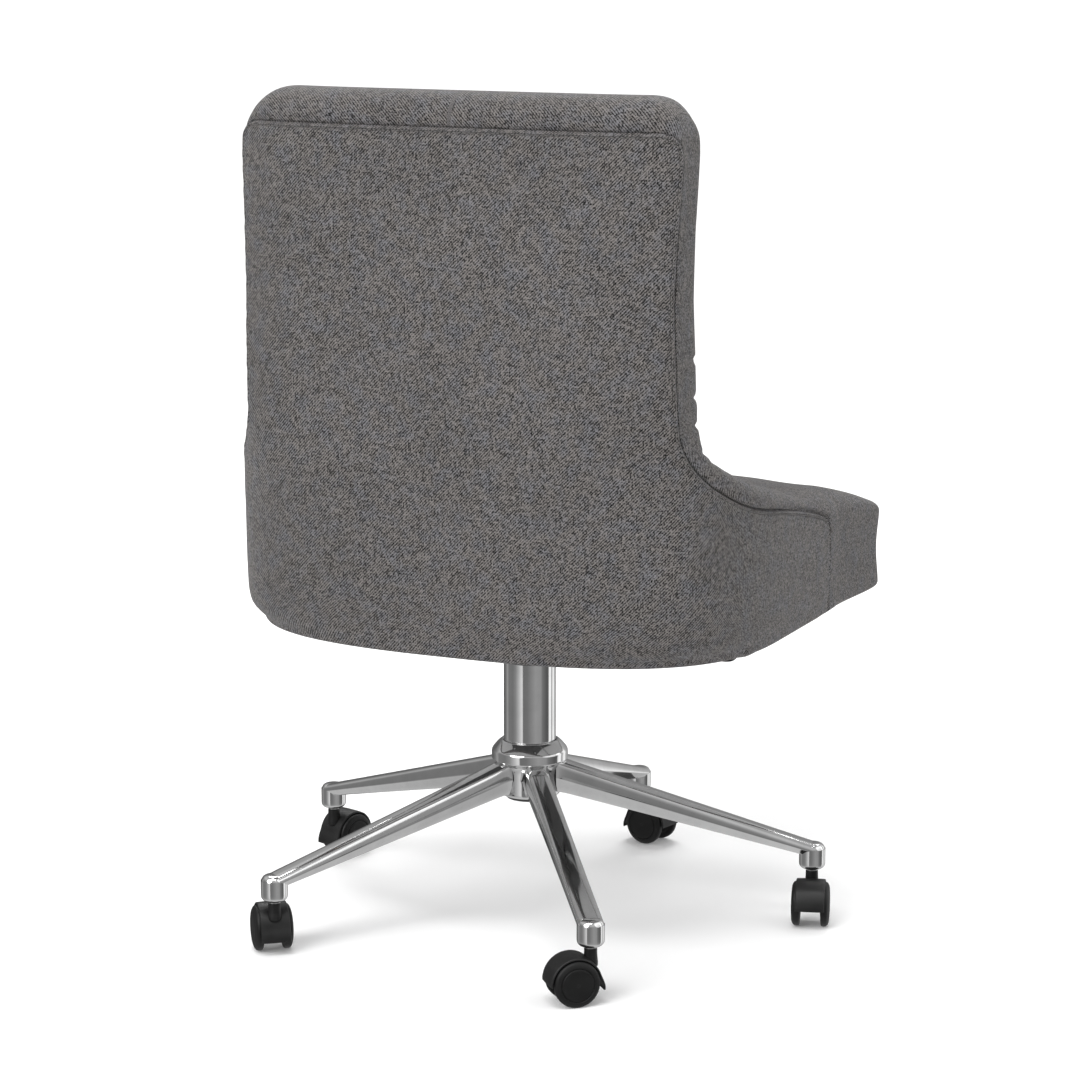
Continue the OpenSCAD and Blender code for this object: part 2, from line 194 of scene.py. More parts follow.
def add_softbox(name, azimuth, elevation, distance, size, power):
    lamp = bpy.data.lights.new(name, "AREA")
    lamp.shape = "RECTANGLE"
    lamp.size, lamp.size_y = size
    lamp.energy = power
    box = bpy.data.objects.new(name, lamp)
    bpy.context.scene.collection.objects.link(box)
    out = direction(azimuth, elevation)
    box.location = SOFTBOX_AIM + out * distance
    box.rotation_euler = (-out).to_track_quat("-Z", "Y").to_euler()


def make_lights():
    """Broad suns for the light on the cloth, and two softboxes for the highlights on the metal."""
    add_sun("key", 160, 36, 1.75, 40)
    add_sun("fill", 280, 34, 0.6, 60)
    add_sun("overhead", 24, 69, 0.75, 20)
    add_softbox("strip_near", 190, 62, 2.8, (1.6, 0.5), 30)
    add_softbox("strip_far", 20, 40, 3.0, (2.4, 0.5), 30)


# ------------------------------------------------------------------ materials

class Surface:
    """A Principled material whose inputs are built up from nodes."""

    def __init__(self, name):
        self.material = bpy.data.materials.new(name)
        self.material.use_nodes = True
        self.tree = self.material.node_tree
        self.shader = self.tree.nodes["Principled BSDF"]

    def add(self, kind, inputs=None, **settings):
        made = self.tree.nodes.new(kind)
        for key, value in settings.items():
            setattr(made, key, value)
        for key, value in (inputs or {}).items():
            self.feed(made.inputs[key], value)
        return made

    def feed(self, socket, value):
        if isinstance(value, bpy.types.NodeSocket):
            self.tree.links.new(value, socket)
        else:
            socket.default_value = value

    def calc(self, operation, *values):
        made = self.add("ShaderNodeMath", operation=operation)
        for socket, value in zip(made.inputs, values):
            self.feed(socket, value)
        return made.outputs[0]

    def mix(self, factor, first, second, blend="MIX"):
        inputs = {"Fac": factor, "Color1": first, "Color2": second}
        return self.add("ShaderNodeMixRGB", inputs, blend_type=blend).outputs[0]

    def noise(self, vector, scale, detail=2.0, roughness=0.5):
        made = self.add("ShaderNodeTexNoise", {"Vector": vector, "Scale": scale, "Detail": detail,
                                               "Roughness": roughness})
        return made.outputs["Fac"]

    def stretch(self, vector, factors):
        made = self.add("ShaderNodeVectorMath", operation="MULTIPLY")
        self.feed(made.inputs[0], vector)
        made.inputs[1].default_value = factors
        return made.outputs[0]

    def spread(self, value, low, high, out_low, out_high):
        made = self.add("ShaderNodeMapRange", {"Value": value, "From Min": low, "From Max": high,
                                               "To Min": out_low, "To Max": out_high})
        return made.outputs["Result"]

    def weighed(self, *terms):
        """Sum of (value, weight) pairs."""
        total = None
        for value, weight in terms:
            term = self.calc("MULTIPLY", value, weight)
            total = term if total is None else self.calc("ADD", total, term)
        return total

    def combine(self, x, y, z):
        return self.add("ShaderNodeCombineXYZ", {"X": x, "Y": y, "Z": z}).outputs[0]

    def speck(self, cell):
        made = self.add("ShaderNodeTexWhiteNoise", {"Vector": cell}, noise_dimensions="3D")
        return made.outputs["Value"]

    def place(self):
        return self.add("ShaderNodeTexCoord").outputs["Object"]

    def cloth_place(self):
        return self.add("ShaderNodeUVMap", uv_map="cloth").outputs["UV"]

    def bump(self, height, strength, distance):
        inputs = {"Height": height, "Strength": strength, "Distance": distance}
        self.feed(self.shader.inputs["Normal"], self.add("ShaderNodeBump", inputs).outputs[0])

    def set(self, **values):
        for key, value in values.items():
            self.feed(self.shader.inputs[key.replace("_", " ")], value)
        return self.material


def grey(value, warmth=0.0):
    """A grey, a little to red where warmth is above zero."""
    return (value * (1 + warmth), value, value * (1 - warmth), 1)


def linen(name, place, pitch=0.85 * MM, dark=0.002, light=0.192):
    """Heathered twill: mixed grey threads cross two over two, with slubs, faint tints and painted
    shade.
    """
    s = Surface(name)
    where = place(s)
    split = s.add("ShaderNodeSeparateXYZ", {"Vector": s.stretch(where, (1 / pitch,) * 3)})
    across, along = split.outputs["X"], split.outputs["Y"]
    warp, weft = s.calc("FLOOR", across), s.calc("FLOOR", along)
    # The twill repeats every four threads; the 8000 keeps the count above zero.
    step = s.calc("MODULO", s.calc("ADD", s.calc("ADD", warp, weft), 8000.0), 4.0)
    warp_over = s.calc("LESS_THAN", step, 2.0)

    def thread_height(count):
        return s.calc("SINE", s.calc("MULTIPLY", s.calc("FRACT", count), math.pi))

    def pair(count):
        return s.calc("FLOOR", s.calc("DIVIDE", count, 2.0))

    height = s.mix(warp_over, thread_height(along), thread_height(across))
    speck = s.speck(s.combine(warp, weft, 0.0))
    knot = s.speck(s.combine(pair(across), pair(along), 3.0))
    warp_slub = s.noise(s.stretch(where, (900.0, 60.0, 1.0)), 1.0, 2.0)
    weft_slub = s.noise(s.stretch(where, (60.0, 900.0, 1.0)), 1.0, 2.0)
    slub = s.spread(s.mix(warp_over, weft_slub, warp_slub), 0.3, 0.7, 0.0, 1.0)
    tone = s.weighed((speck, 0.26), (knot, 0.30), (slub, 0.20), (warp_over, 0.24))
    tone = s.spread(tone, 0.32, 0.68, 0.0, 1.0)
    patches = s.spread(s.noise(where, 48.0, 4.0, 0.6), 0.44, 0.66, 0.0, 1.0)
    cool, warm = (0.94, 0.985, 1.08, 1), (1.02, 1.0, 0.985, 1)
    base = s.mix(tone, (dark * 1.05, dark, dark, 1), (light * 1.06, light, light * 0.975, 1))
    base = s.mix(1.0, base, s.mix(patches, warm, cool), "MULTIPLY")
    # Painted shade: each thread is drawn darker towards its edges, down to 0.6 in the dips between
    # threads.
    painted_thread_shade = s.calc("ADD", s.calc("MULTIPLY", height, 0.40), 0.60)
    wear = s.spread(s.noise(s.place(), 7.0, 4.0), 0.3, 0.7, 0.93, 1.07)
    for level in (painted_thread_shade, wear):
        base = s.mix(1.0, base, s.combine(level, level, level), "MULTIPLY")
    s.bump(height, 0.55, 0.22 * MM)
    rough = s.spread(speck, 0.0, 1.0, 0.82, 0.95)
    return s.set(Base_Color=base, Roughness=rough, Sheen_Weight=0.12, Sheen_Roughness=0.5,
                 Specular_IOR_Level=0.2)


def metal(name, tone, rough_low, rough_high, scratch=0.12, tint=0.0):
    """Polished or brushed metal with a faint orange peel, handling marks and fine scratches."""
    s = Surface(name)
    where = s.place()
    marks = s.noise(where, 34.0, 5.0, 0.6)
    scratches = s.noise(s.stretch(where, (900.0, 900.0, 40.0)), 1.0, 3.0)
    colour = s.mix(s.spread(marks, 0.35, 0.7, 0.0, 1.0), grey(tone, tint), grey(tone * 0.9, tint))
    rough = s.spread(marks, 0.3, 0.75, rough_low, rough_high)
    s.bump(scratches, scratch, 0.02 * MM)
    return s.set(Base_Color=colour, Roughness=rough, Metallic=1.0)


def plastic(name, tone, rough_low=0.34, rough_high=0.5, grain=2600.0, depth=0.16, level=0.45):
    """Moulded plastic with a fine spark grain, paler on its sharp convex edges."""
    s = Surface(name)
    where = s.place()
    dust = s.noise(where, 60.0, 4.0, 0.65)
    edge = s.add("ShaderNodeNewGeometry").outputs["Pointiness"]
    # Where pointiness marks a sharp convex edge, the colour goes up to 0.6 of the way to three
    # times the tone.
    pale_edge_share = s.spread(edge, 0.52, 0.60, 0.0, 0.6)
    colour = s.mix(s.spread(dust, 0.4, 0.75, 0.0, 1.0), grey(tone), grey(tone * 1.7))
    colour = s.mix(pale_edge_share, colour, grey(tone * 3.0))
    s.bump(s.noise(where, grain, 2.0), depth, 0.05 * MM)
    return s.set(Base_Color=colour, Roughness=s.spread(dust, 0.3, 0.7, rough_low, rough_high),
                 Specular_IOR_Level=level)


def timber(name):
    """Pale wood with its rings and pores drawn out along X."""
    s = Surface(name)
    where = s.place()
    rings = s.noise(s.stretch(where, (12.0, 90.0, 90.0)), 1.0, 5.0, 0.6)
    pores = s.noise(s.stretch(where, (60.0, 900.0, 900.0)), 1.0, 2.0)
    rings = s.spread(rings, 0.35, 0.65, 0.0, 1.0)
    colour = s.mix(rings, (0.50, 0.33, 0.18, 1), (0.70, 0.52, 0.33, 1))
    s.bump(pores, 0.3, 0.1 * MM)
    return s.set(Base_Color=colour, Roughness=s.spread(pores, 0.3, 0.7, 0.55, 0.8))


def felt(name, tone):
    """Spun lining cloth with a dimpled surface."""
    s = Surface(name)
    where = s.place()
    fibres = s.noise(where, 700.0, 4.0, 0.7)
    dimples = s.add("ShaderNodeTexVoronoi", {"Vector": where, "Scale": 420.0}).outputs["Distance"]
    colour = s.mix(fibres, grey(tone * 0.6), grey(tone * 1.6))
    s.bump(s.calc("ADD", fibres, dimples), 0.4, 0.15 * MM)
    return s.set(Base_Color=colour, Roughness=s.spread(fibres, 0.3, 0.7, 0.85, 0.97),
                 Sheen_Weight=0.1)


def sewing_thread(name):
    """Twisted sewing thread."""
    s = Surface(name)
    where = s.place()
    twist = s.noise(where, 1500.0, 2.0)
    colour = s.mix(twist, grey(0.10, 0.03), grey(0.24, 0.04))
    s.bump(twist, 0.5, 0.1 * MM)
    return s.set(Base_Color=colour, Roughness=s.spread(twist, 0.3, 0.7, 0.6, 0.8))


# ------------------------------------------------------------------ mesh helpers

def smoothstep(value, low, high):
    """0 at low and 1 at high, with a smooth rise between; low may be above high."""
    t = np.clip((np.asarray(value, float) - low) / (high - low), 0, 1)
    return t * t * (3 - 2 * t)


def unit(vectors):
    """Each vector at length 1."""
    return vectors / np.linalg.norm(vectors, axis=-1, keepdims=True)


def beside(*columns):
    """Points from their coordinates; a bare number holds for every point."""
    return np.stack(np.broadcast_arrays(*columns), axis=-1)


def left_of(way):
    """Flat vectors turned a quarter turn to the left."""
    return beside(-way[:, 1], way[:, 0])


def blend(first, second, share):
    """first at share 0, second at share 1."""
    return first + (second - first) * share


def mesh_piece(name, form, material, stands_for=(), cloth=None, sharp_angle=None):
    """A smooth-shaded piece from (points in millimetres, faces). cloth gives each point's place in
    the cloth, and stands_for names the CAD nodes that the piece replaces."""
    points, faces = form
    data = bpy.data.meshes.new(name)
    data.from_pydata((np.asarray(points, float) * MM).tolist(), [], faces)
    data.shade_smooth()
    if sharp_angle is not None:
        data.set_sharp_from_angle(angle=math.radians(sharp_angle))
    if cloth is not None:
        layer = data.uv_layers.new(name="cloth")
        index = np.zeros(len(data.loops), np.int32)
        data.loops.foreach_get("vertex_index", index)
        places = np.asarray(cloth, float)[index] * MM
        layer.data.foreach_set("uv", places.astype(np.float32).ravel())
    data.materials.append(material)
    data.validate()
    made = bpy.data.objects.new(name, data)
    bpy.context.scene.collection.objects.link(made)
    if stands_for:
        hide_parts(*stands_for)
    return made


def grid_faces(rows, columns, start=0, closed=False, flip=False):
    """Quads of a grid whose points run row by row."""
    faces = []
    for r in range(rows - 1):
        for c in range(columns if closed else columns - 1):
            n = (c + 1) % columns
            quad = (start + r * columns + c, start + r * columns + n,
                    start + (r + 1) * columns + n, start + (r + 1) * columns + c)
            faces.append(quad[::-1] if flip else quad)
    return faces


def rounded(points, passes=2, closed=False):
    """Cuts the corners of an outline, as often as passes says."""
    points = np.asarray(points, float)
    for _ in range(passes):
        nxt = np.roll(points, -1, axis=0) if closed else points[1:]
        cur = points if closed else points[:-1]
        cut = np.empty((2 * len(cur), points.shape[1]))
        cut[0::2] = cur * 0.75 + nxt * 0.25
        cut[1::2] = cur * 0.25 + nxt * 0.75
        points = cut if closed else np.vstack([points[:1], cut[1:-1], points[-1:]])
    return points


def tube(rings, flip=False):
    """Points and faces of a skin over closed rings, with a flat face on each end."""
    count = len(rings[0])
    first, last = tuple(range(count)), tuple(range((len(rings) - 1) * count, len(rings) * count))
    ends = [first, last[::-1]] if flip else [first[::-1], last]
    return np.vstack(rings), grid_faces(len(rings), count, closed=True, flip=flip) + ends


def lathe(profile, segments=96):
    """Points and faces of a turned form about Z from an (r, z) profile."""
    profile = np.asarray(profile, float)
    angle = np.linspace(0, 2 * np.pi, segments, endpoint=False)
    points = np.concatenate([
        beside(r * np.cos(angle), r * np.sin(angle), z) for r, z in profile
    ])
    return points, grid_faces(len(profile), segments, closed=True)


SHELL_MIDDLE = np.array([0, -40.0, 470.0])


def turned_out(points, faces):
    """The faces, each wound so that it looks away from the middle of the shell."""
    corners = points[np.array([face[:3] for face in faces])]
    a, b, c = corners[:, 0], corners[:, 1], corners[:, 2]
    away = (np.cross(b - a, c - a) * ((a + b + c) / 3 - SHELL_MIDDLE)).sum(1)
    return [face if way >= 0 else face[::-1] for face, way in zip(faces, away)]


def join_parts(parts):
    """Points and faces of several forms as one."""
    points, faces, start = [], [], 0
    for part_points, part_faces in parts:
        points.append(np.asarray(part_points, float))
        faces += [tuple(i + start for i in face) for face in part_faces]
        start += len(part_points)
    return np.concatenate(points), faces


def along_curve(points):
    """Running length of an open polyline."""
    return np.concatenate([[0.0], np.cumsum(np.linalg.norm(np.diff(points, axis=0), axis=1))])


def resample(points, spacing=None, places=None):
    """The polyline at even spacing, or at the given running lengths."""
    length = along_curve(points)
    if places is None:
        places = np.linspace(0, length[-1], max(2, int(round(length[-1] / spacing)) + 1))
    return beside(*(np.interp(places, length, column) for column in points.T))


def relax(points, passes):
    """Softens the corners of a polyline and keeps its ends."""
    points = points.copy()
    for _ in range(passes):
        points[1:-1] = 0.25 * points[:-2] + 0.5 * points[1:-1] + 0.25 * points[2:]
    return points


def wrapped(around, grid):
    """Each point's place in the cloth: how far round, and how far down from the first row."""
    down = np.linalg.norm(np.diff(grid, axis=0), axis=2).cumsum(0)
    down = np.vstack([np.zeros((1, grid.shape[1])), down])
    return np.stack([np.broadcast_to(around, down.shape), down], axis=-1)


def quarter(t, squareness):
    """(rise, run) of a rounded quarter turn, both 0 at t 0 and 1 at t 1, rise first."""
    angle = np.asarray(t, float) * np.pi / 2
    return np.sin(angle) ** (2 / squareness), 1 - np.cos(angle) ** (2 / squareness)


# ------------------------------------------------------------------ the shell's own shape

panel_low, panel_high = node_box("outer_panel")
HALF_W, REAR_Y, TOP_Z = panel_high
FRONT_Y, RIM_Z = panel_low[1], panel_low[2] - 2.0
STRAIGHT_Y = -20.0
# How square the shell is in plan at each height: the foot draws in, the upper back is squarest.
SQUARE_Z = [325, 333, 345, 362, 400, 455, 520, 582, 640]
SQUARE_N = [2.9, 3.35, 3.75, 3.95, 4.05, 4.1, 4.3, 4.8, 5.0]
LOWER_N, UPPER_N = SQUARE_N[0], SQUARE_N[-1]
PLAN_STEPS = 700
LEAN = 5.0


def plan_curve(squareness):
    """Half of the shell in plan, from the rear centre to the front edge, evenly spaced, and its
    length."""
    a = np.pi / 2 * (1 - np.linspace(0, 1, 900) ** 2)
    x = HALF_W * np.cos(a) ** (2 / squareness)
    y = STRAIGHT_Y + (REAR_Y - STRAIGHT_Y) * np.sin(a) ** (2 / squareness)
    points = np.vstack([beside(x, y), [[HALF_W, FRONT_Y]]])
    length = along_curve(points)
    return resample(points, places=np.linspace(0, length[-1], PLAN_STEPS)), length[-1]


PLANS = [plan_curve(n) for n in np.linspace(LOWER_N, UPPER_N, 14)]
PLAN_TABLE = np.stack([p[0] for p in PLANS])
HALF_LENGTH = PLANS[-1][1]
FINE_Z = np.linspace(RIM_Z, 700, 376)
FINE_N = relax(np.interp(FINE_Z, SQUARE_Z, SQUARE_N), 40)


def shell_point(p, z):
    """Point of the shell's outside at signed distance p round from the rear centre, height z."""
    p, z = np.broadcast_arrays(np.asarray(p, float), np.asarray(z, float))
    squareness = np.interp(z, FINE_Z, FINE_N)
    level = (squareness - LOWER_N) / (UPPER_N - LOWER_N) * (len(PLANS) - 1)
    i = np.clip(level.astype(int), 0, len(PLANS) - 2)
    fi = level - i
    step = np.clip(np.abs(p) / HALF_LENGTH, 0, 1) * (PLAN_STEPS - 1)
    j = np.clip(step.astype(int), 0, PLAN_STEPS - 2)
    fj = step - j
    xy = sum(PLAN_TABLE[i + a, j + b] * ((fi if a else 1 - fi) * (fj if b else 1 - fj))[..., None]
             for a in (0, 1) for b in (0, 1))
    rear = np.clip((xy[..., 1] - STRAIGHT_Y) / (REAR_Y - STRAIGHT_Y), 0, 1) ** 2
    lean = LEAN * smoothstep(z, 690, 860)
    return np.stack([xy[..., 0] * np.sign(p + 1e-12), xy[..., 1] - lean * rear, z], axis=-1)


def shell_normal(p, z, e=1.5):
    """Outward normal of the shell, from points a little way off on each side."""
    du = shell_point(p + e, z) - shell_point(p - e, z)
    dv = shell_point(p, z + e) - shell_point(p, z - e)
    return unit(np.cross(dv, du))


# The seam from the panel's front corner along the seat, up the wing and up the back: (Y, height)
SEAM_SIDE = [
    (FRONT_Y, RIM_Z), (FRONT_Y, 405), (-154.5, 420), (-146, 430), (-130, 436), (-90, 446),
    (-48, 454.5), (-4, 463), (36, 469.5), (67, 476), (95, 484.5), (120, 495), (146, 511),
    (163, 530), (173, 552), (177, 582), (180, 640), (181, 690), (178, 760), (175, 800), (173, 835)
]
SEAM_CORNER_R = 20.0
SEAM_STEP = 4.0


def make_seam():
    """The seam on the +X side in the panel's own plane: distance round from the rear, height."""
    round_p = np.linspace(0, HALF_LENGTH, 1500)
    places = [(np.interp(-y, -shell_point(round_p, z)[:, 1], round_p), z) for y, z in SEAM_SIDE]
    side_p = places[-1][0]
    for a in np.radians([30, 60, 90]):
        places.append((side_p - SEAM_CORNER_R * (1 - math.cos(a)),
                       TOP_Z - SEAM_CORNER_R * (1 - math.sin(a))))
    places += [(side_p * 0.5, TOP_Z), (0.0, TOP_Z)]
    return relax(resample(np.array(places), spacing=SEAM_STEP), 7)


SEAM = make_seam()
WHOLE_SEAM = np.vstack([SEAM, (SEAM * [-1, 1])[-2::-1]])
SEAM_YZ = shell_point(SEAM[:, 0], SEAM[:, 1])[:, 1:]
SEAM_YZ = SEAM_YZ[:np.argmax(SEAM_YZ[:, 1] > 520)]


# ------------------------------------------------------------------ outside panel

def groove(distance):
    """How far the panel stands out at a distance from its seam: tuck, lip and stitch line."""
    d = np.asarray(distance, float)
    tuck = -5.0 * np.exp(-(d / 1.7) ** 2)
    lip = 0.5 * np.exp(-((d - 2.7) / 1.1) ** 2)
    stitch = -1.5 * np.exp(-((d - 4.4) / 0.75) ** 2)
    pad = 0.9 * smoothstep(d, 5, 40)
    return tuck + lip + stitch + pad


def pucker(s, distance, reach=16.0, size=0.28):
    """Small ripples that the stitching pulls into the cloth beside a seam."""
    wave = np.sin(s / 3.1) + 0.7 * np.sin(s / 5.3 + 1.7) + 0.5 * np.sin(s / 1.9 + 0.4)
    return size * wave * np.exp(-distance / reach) * smoothstep(distance, 0.5, 4.0)


def polyline_distance(points, line, chunk=4000):
    """Shortest distance from each point to a polyline, and the running length there."""
    length = along_curve(line)
    a, b = line[:-1], line[1:]
    ab = b - a
    out_d, out_s = np.empty(len(points)), np.empty(len(points))
    for k in range(0, len(points), chunk):
        ap = points[k:k + chunk, None] - a[None]
        t = np.clip((ap * ab).sum(-1) / (ab * ab).sum(-1), 0, 1)
        gap = np.linalg.norm(ap - t[..., None] * ab, axis=-1)
        best = gap.argmin(1)
        rows = np.arange(len(best))
        out_d[k:k + chunk] = gap[rows, best]
        out_s[k:k + chunk] = length[best] + t[rows, best] * (length[best + 1] - length[best])
    return out_d, out_s


# The strip beside the seam has rows this far from it; the middle has points this far apart.
EDGE_ROWS = np.array([0, 0.6, 1.2, 1.8, 2.4, 3.0, 3.6, 4.2, 4.8, 5.5, 6.5, 8, 10])
BODY_STEP = 6.5
FOOT_STEP = 4.0
CLEAR_OF_EDGE = 2.8
RIM_R = 6.0
RIM_TURNS = (15, 30, 45, 60, 75, 90)
HEMS, HEM_RISE = (6, 14, 24), 0.02


def in_loop(points, loop):
    """Which flat points lie inside a closed loop: those with an odd number of its edges beside
    them."""
    a, b = loop[:-1, None], loop[1:, None]
    crosses = (a[..., 1] > points[:, 1]) != (b[..., 1] > points[:, 1])
    rise = np.where(b[..., 1] == a[..., 1], 1e-9, b[..., 1] - a[..., 1])
    at = a[..., 0] + (points[:, 1] - a[..., 1]) / rise * (b[..., 0] - a[..., 0])
    return (crosses & (points[:, 0] < at)).sum(0) % 2 == 1


def panel_layout():
    """The panel laid flat as (distance round, height): a strip along its seam and a filled middle.
    Gives the places, the faces and the order of the points along the foot."""
    tangent = np.gradient(SEAM, axis=0)
    tangent[0], tangent[-1] = (0, 1), (-1, 0)
    inward = left_of(unit(relax(unit(tangent), 3)))
    half = SEAM[None] + EDGE_ROWS[:, None, None] * inward[None]
    strip = np.concatenate([half, half[:, -2::-1] * [-1, 1]], axis=1)
    rows, columns = strip.shape[:2]
    places = strip.reshape(-1, 2)
    faces = grid_faces(rows, columns)
    inner = strip[-1]
    reach = inner[0, 0]
    foot = beside(np.linspace(-reach, reach, int(2 * reach / FOOT_STEP))[1:-1], RIM_Z)
    loop = np.concatenate([inner, foot])
    xs, zs = np.meshgrid(np.arange(-88, 89) * BODY_STEP,
                         np.arange(RIM_Z + 4, TOP_Z, BODY_STEP * 0.87))
    xs = xs + (np.arange(len(xs)) % 2)[:, None] * BODY_STEP / 2
    body = beside(xs.ravel(), zs.ravel())
    ring = np.vstack([loop, loop[:1]])
    body = body[in_loop(body, ring)]
    body = body[polyline_distance(body, ring)[0] > CLEAR_OF_EDGE]
    flat = [Vector(v) for v in np.vstack([loop, body])]
    filled = delaunay_2d_cdt(flat, [], [list(range(len(loop)))], 1, 1e-5)
    source = [origin[0] for origin in filled[3]]
    start = len(places)
    number = np.concatenate([np.arange(columns) + (rows - 1) * columns,
                             start + np.arange(len(foot) + len(body))])
    faces += [tuple(int(number[source[i]]) for i in face) for face in filled[2]]
    places = np.vstack([places, foot, body])
    right = [r * columns for r in range(rows)]
    left = [(r + 1) * columns - 1 for r in range(rows)]
    order = right + [start + i for i in range(len(foot) - 1, -1, -1)] + left[::-1]
    return places, faces, order


def make_outer_panel(material):
    """The outside skin: it stands off its seam, draws in to the foot and turns under it."""
    places, faces, order = panel_layout()
    across, height = places[:, 0], places[:, 1]
    distance, along = polyline_distance(places, WHOLE_SEAM)
    foot = smoothstep(height, RIM_Z + 34, RIM_Z)
    front_p = SEAM[0, 0]
    front_edge = smoothstep(np.abs(across), front_p - 30, front_p - 12)
    front_edge = front_edge * smoothstep(height, 412, 386)
    out = groove(distance) * (1 - 0.5 * front_edge) + pucker(along, distance) - 2.2 * foot ** 2
    normal = shell_normal(across, np.maximum(height, RIM_Z + 1.6))
    points = shell_point(across, height) + normal * out[:, None]
    points[:, 2] += RIM_R * smoothstep(height, RIM_Z + 60, RIM_Z)
    edge, edge_cloth = points[order], places[order]
    way = unit(normal[order] * [1, 1, 0])
    under, under_cloth = [], []
    for a in np.radians(RIM_TURNS):
        under.append(edge - way * RIM_R * (1 - math.cos(a)) - [0, 0, RIM_R * math.sin(a)])
        under_cloth.append(edge_cloth - [0, RIM_R * a])
    for hem in HEMS:
        under.append(edge - way * (RIM_R + hem) - [0, 0, RIM_R - HEM_RISE * hem])
        under_cloth.append(edge_cloth - [0, RIM_R * math.pi / 2 + hem])
    count, start = len(order), len(points)
    faces += [(order[i], order[i + 1], start + i + 1, start + i) for i in range(count - 1)]
    faces += grid_faces(len(under), count, start)
    points = np.vstack([points] + under)
    return mesh_piece("outer_panel_cover", (points, turned_out(points, faces)), material,
                      ["outer_panel"], np.vstack([places] + under_cloth))


# Where the stitches start, how far from the seam they run, their spacing, length and thickness,
# and how deep their ends dip into the cloth.
STITCH_LOW_Z, STITCH_LINE = 402, 4.4
STITCH_GAP, STITCH_LENGTH, STITCH_R = 5.2, 3.6, 0.42
STITCH_RISE, STITCH_DIP = 0.15, 1.3


def make_topstitch(material):
    """The row of stitches that runs along the panel's seam, each one a short bowed thread."""
    start = int(np.argmax(SEAM[:, 1] > STITCH_LOW_Z))
    line = WHOLE_SEAM[start:len(WHOLE_SEAM) - start]
    tangent = unit(relax(unit(np.gradient(line, axis=0)), 3))
    line = line + left_of(tangent) * STITCH_LINE
    turn = np.radians(np.arange(0, 360, 60))[None, :, None]
    bow = np.linspace(-1, 1, 5)
    size = STITCH_R * np.sqrt(np.clip(1.05 - bow ** 4, 0.05, 1))[:, None, None]
    stitches = []
    for middle in np.arange(4, along_curve(line)[-1] - 4, STITCH_GAP):
        flat = resample(line, places=middle + bow * STITCH_LENGTH / 2)
        out = shell_normal(flat[:, 0], flat[:, 1])
        centre = shell_point(flat[:, 0], flat[:, 1])
        centre = centre + out * (STITCH_RISE - STITCH_DIP * bow ** 2)[:, None]
        across = np.cross(out, unit(centre[-1] - centre[0]))
        stitches.append(tube(centre[:, None] + size * (
            np.cos(turn) * across[:, None] + np.sin(turn) * out[:, None]), flip=True))
    return mesh_piece("panel_topstitch", join_parts(stitches), material)


# ------------------------------------------------------------------ back cover

pad_low, pad_high = node_box("back_pad")
frame_low, frame_high = node_box("back_frame")
CREST_Z, FACE_Y = pad_high[2] - 5.5, pad_low[1]
FRAME_FRONT_Y, FRAME_HALF_W = frame_low[1], frame_high[0]
# The outline seen from behind, and the edge of the face: half width, top and corner radius.
BACK_HALF_W, OUTLINE_R = 239.0, 44.0
FACE_HALF_W, FACE_TOP_Z, FACE_R = 198.0, 852.0, 22.0


def rounded_frame(half_w, top, radius, low):
    """Half of an upright outline with a round upper corner, from the foot to the top centre."""
    turn = np.radians(np.arange(0, 91, 6))
    corner = beside(half_w - radius + radius * np.cos(turn),
                       top - radius + radius * np.sin(turn))
    return np.vstack([[[half_w, low]], corner, [[0, top]]])


def follow(frame_line, seam_xz, low):
    """Points of an outline that go with the seam's points: level with them at the side, above
    them at the top, and by share of length round the corner."""
    side_end, top_x = low + 210.0, 175.0
    dense = resample(frame_line, places=np.linspace(0, along_curve(frame_line)[-1], 3000))
    x, z = dense.T
    length = along_curve(dense)
    at_side = length[np.argmin(np.abs(z - side_end) + (x < x[0] - 0.5) * 1e3)]
    at_top = length[np.argmin(np.abs(x - top_x) + (z < z[-1] - 0.5) * 1e3)]
    seam_x, seam_z = seam_xz.T
    seam_length = along_curve(seam_xz)
    side = np.interp(side_end, seam_z, seam_length)
    top = seam_length[np.argmin(np.abs(seam_x - top_x) + (seam_z < seam_z[-1] - 3) * 1e3)]
    share = (seam_length - side) / (top - side)
    out = resample(dense, places=blend(at_side, at_top, share))
    level_x = np.interp(np.minimum(seam_z, side_end), z[:2000], x[:2000])
    upright, above = (seam_length <= side)[:, None], (seam_length >= top)[:, None]
    return np.where(upright, beside(level_x, seam_z), np.where(above, beside(seam_x, z[-1]), out))


# Along the seam by height: how far the cover runs on from the seam before its front corner turns,
# how deep that corner is, and how far it turns in. Heights are those of the seam.
BAND_Z = [438, 452, 465, 478, 495, 511, 530, 552, 582, 640, 690, 760, 828]
BAND_RUN = [3, 4, 5, 7, 8, 9, 15, 27, 36, 36, 34, 35, 40]
BAND_TURN = [8, 12, 17, 21, 22, 23, 32, 46, 50, 46, 41, 40, 41]
BAND_DROP = [20, 22, 24, 26, 28, 31, 34, 36, 38, 40, 40, 40, 40]
TOP_RUN, TOP_TURN = 46.0, 62.0
BUTTON_X, BUTTON_Z = 96.0, 90.0
BUTTONS_LOW_Z = 560.0
# Four buttons and three by turns, as (x, height)
BUTTONS = np.array([(x, BUTTONS_LOW_Z + row * BUTTON_Z) for row in range(4)
                    for x in ((-96, 0, 96) if row % 2 else (-144, -48, 48, 144))], float)
FOLD_DEEP, FOLD_WIDE = 5.0, 4.4
SWELL, SWELL_BASE = 8.0, 3.0
PULL_DEEP, PULL_WIDE = 13.0, 16.0


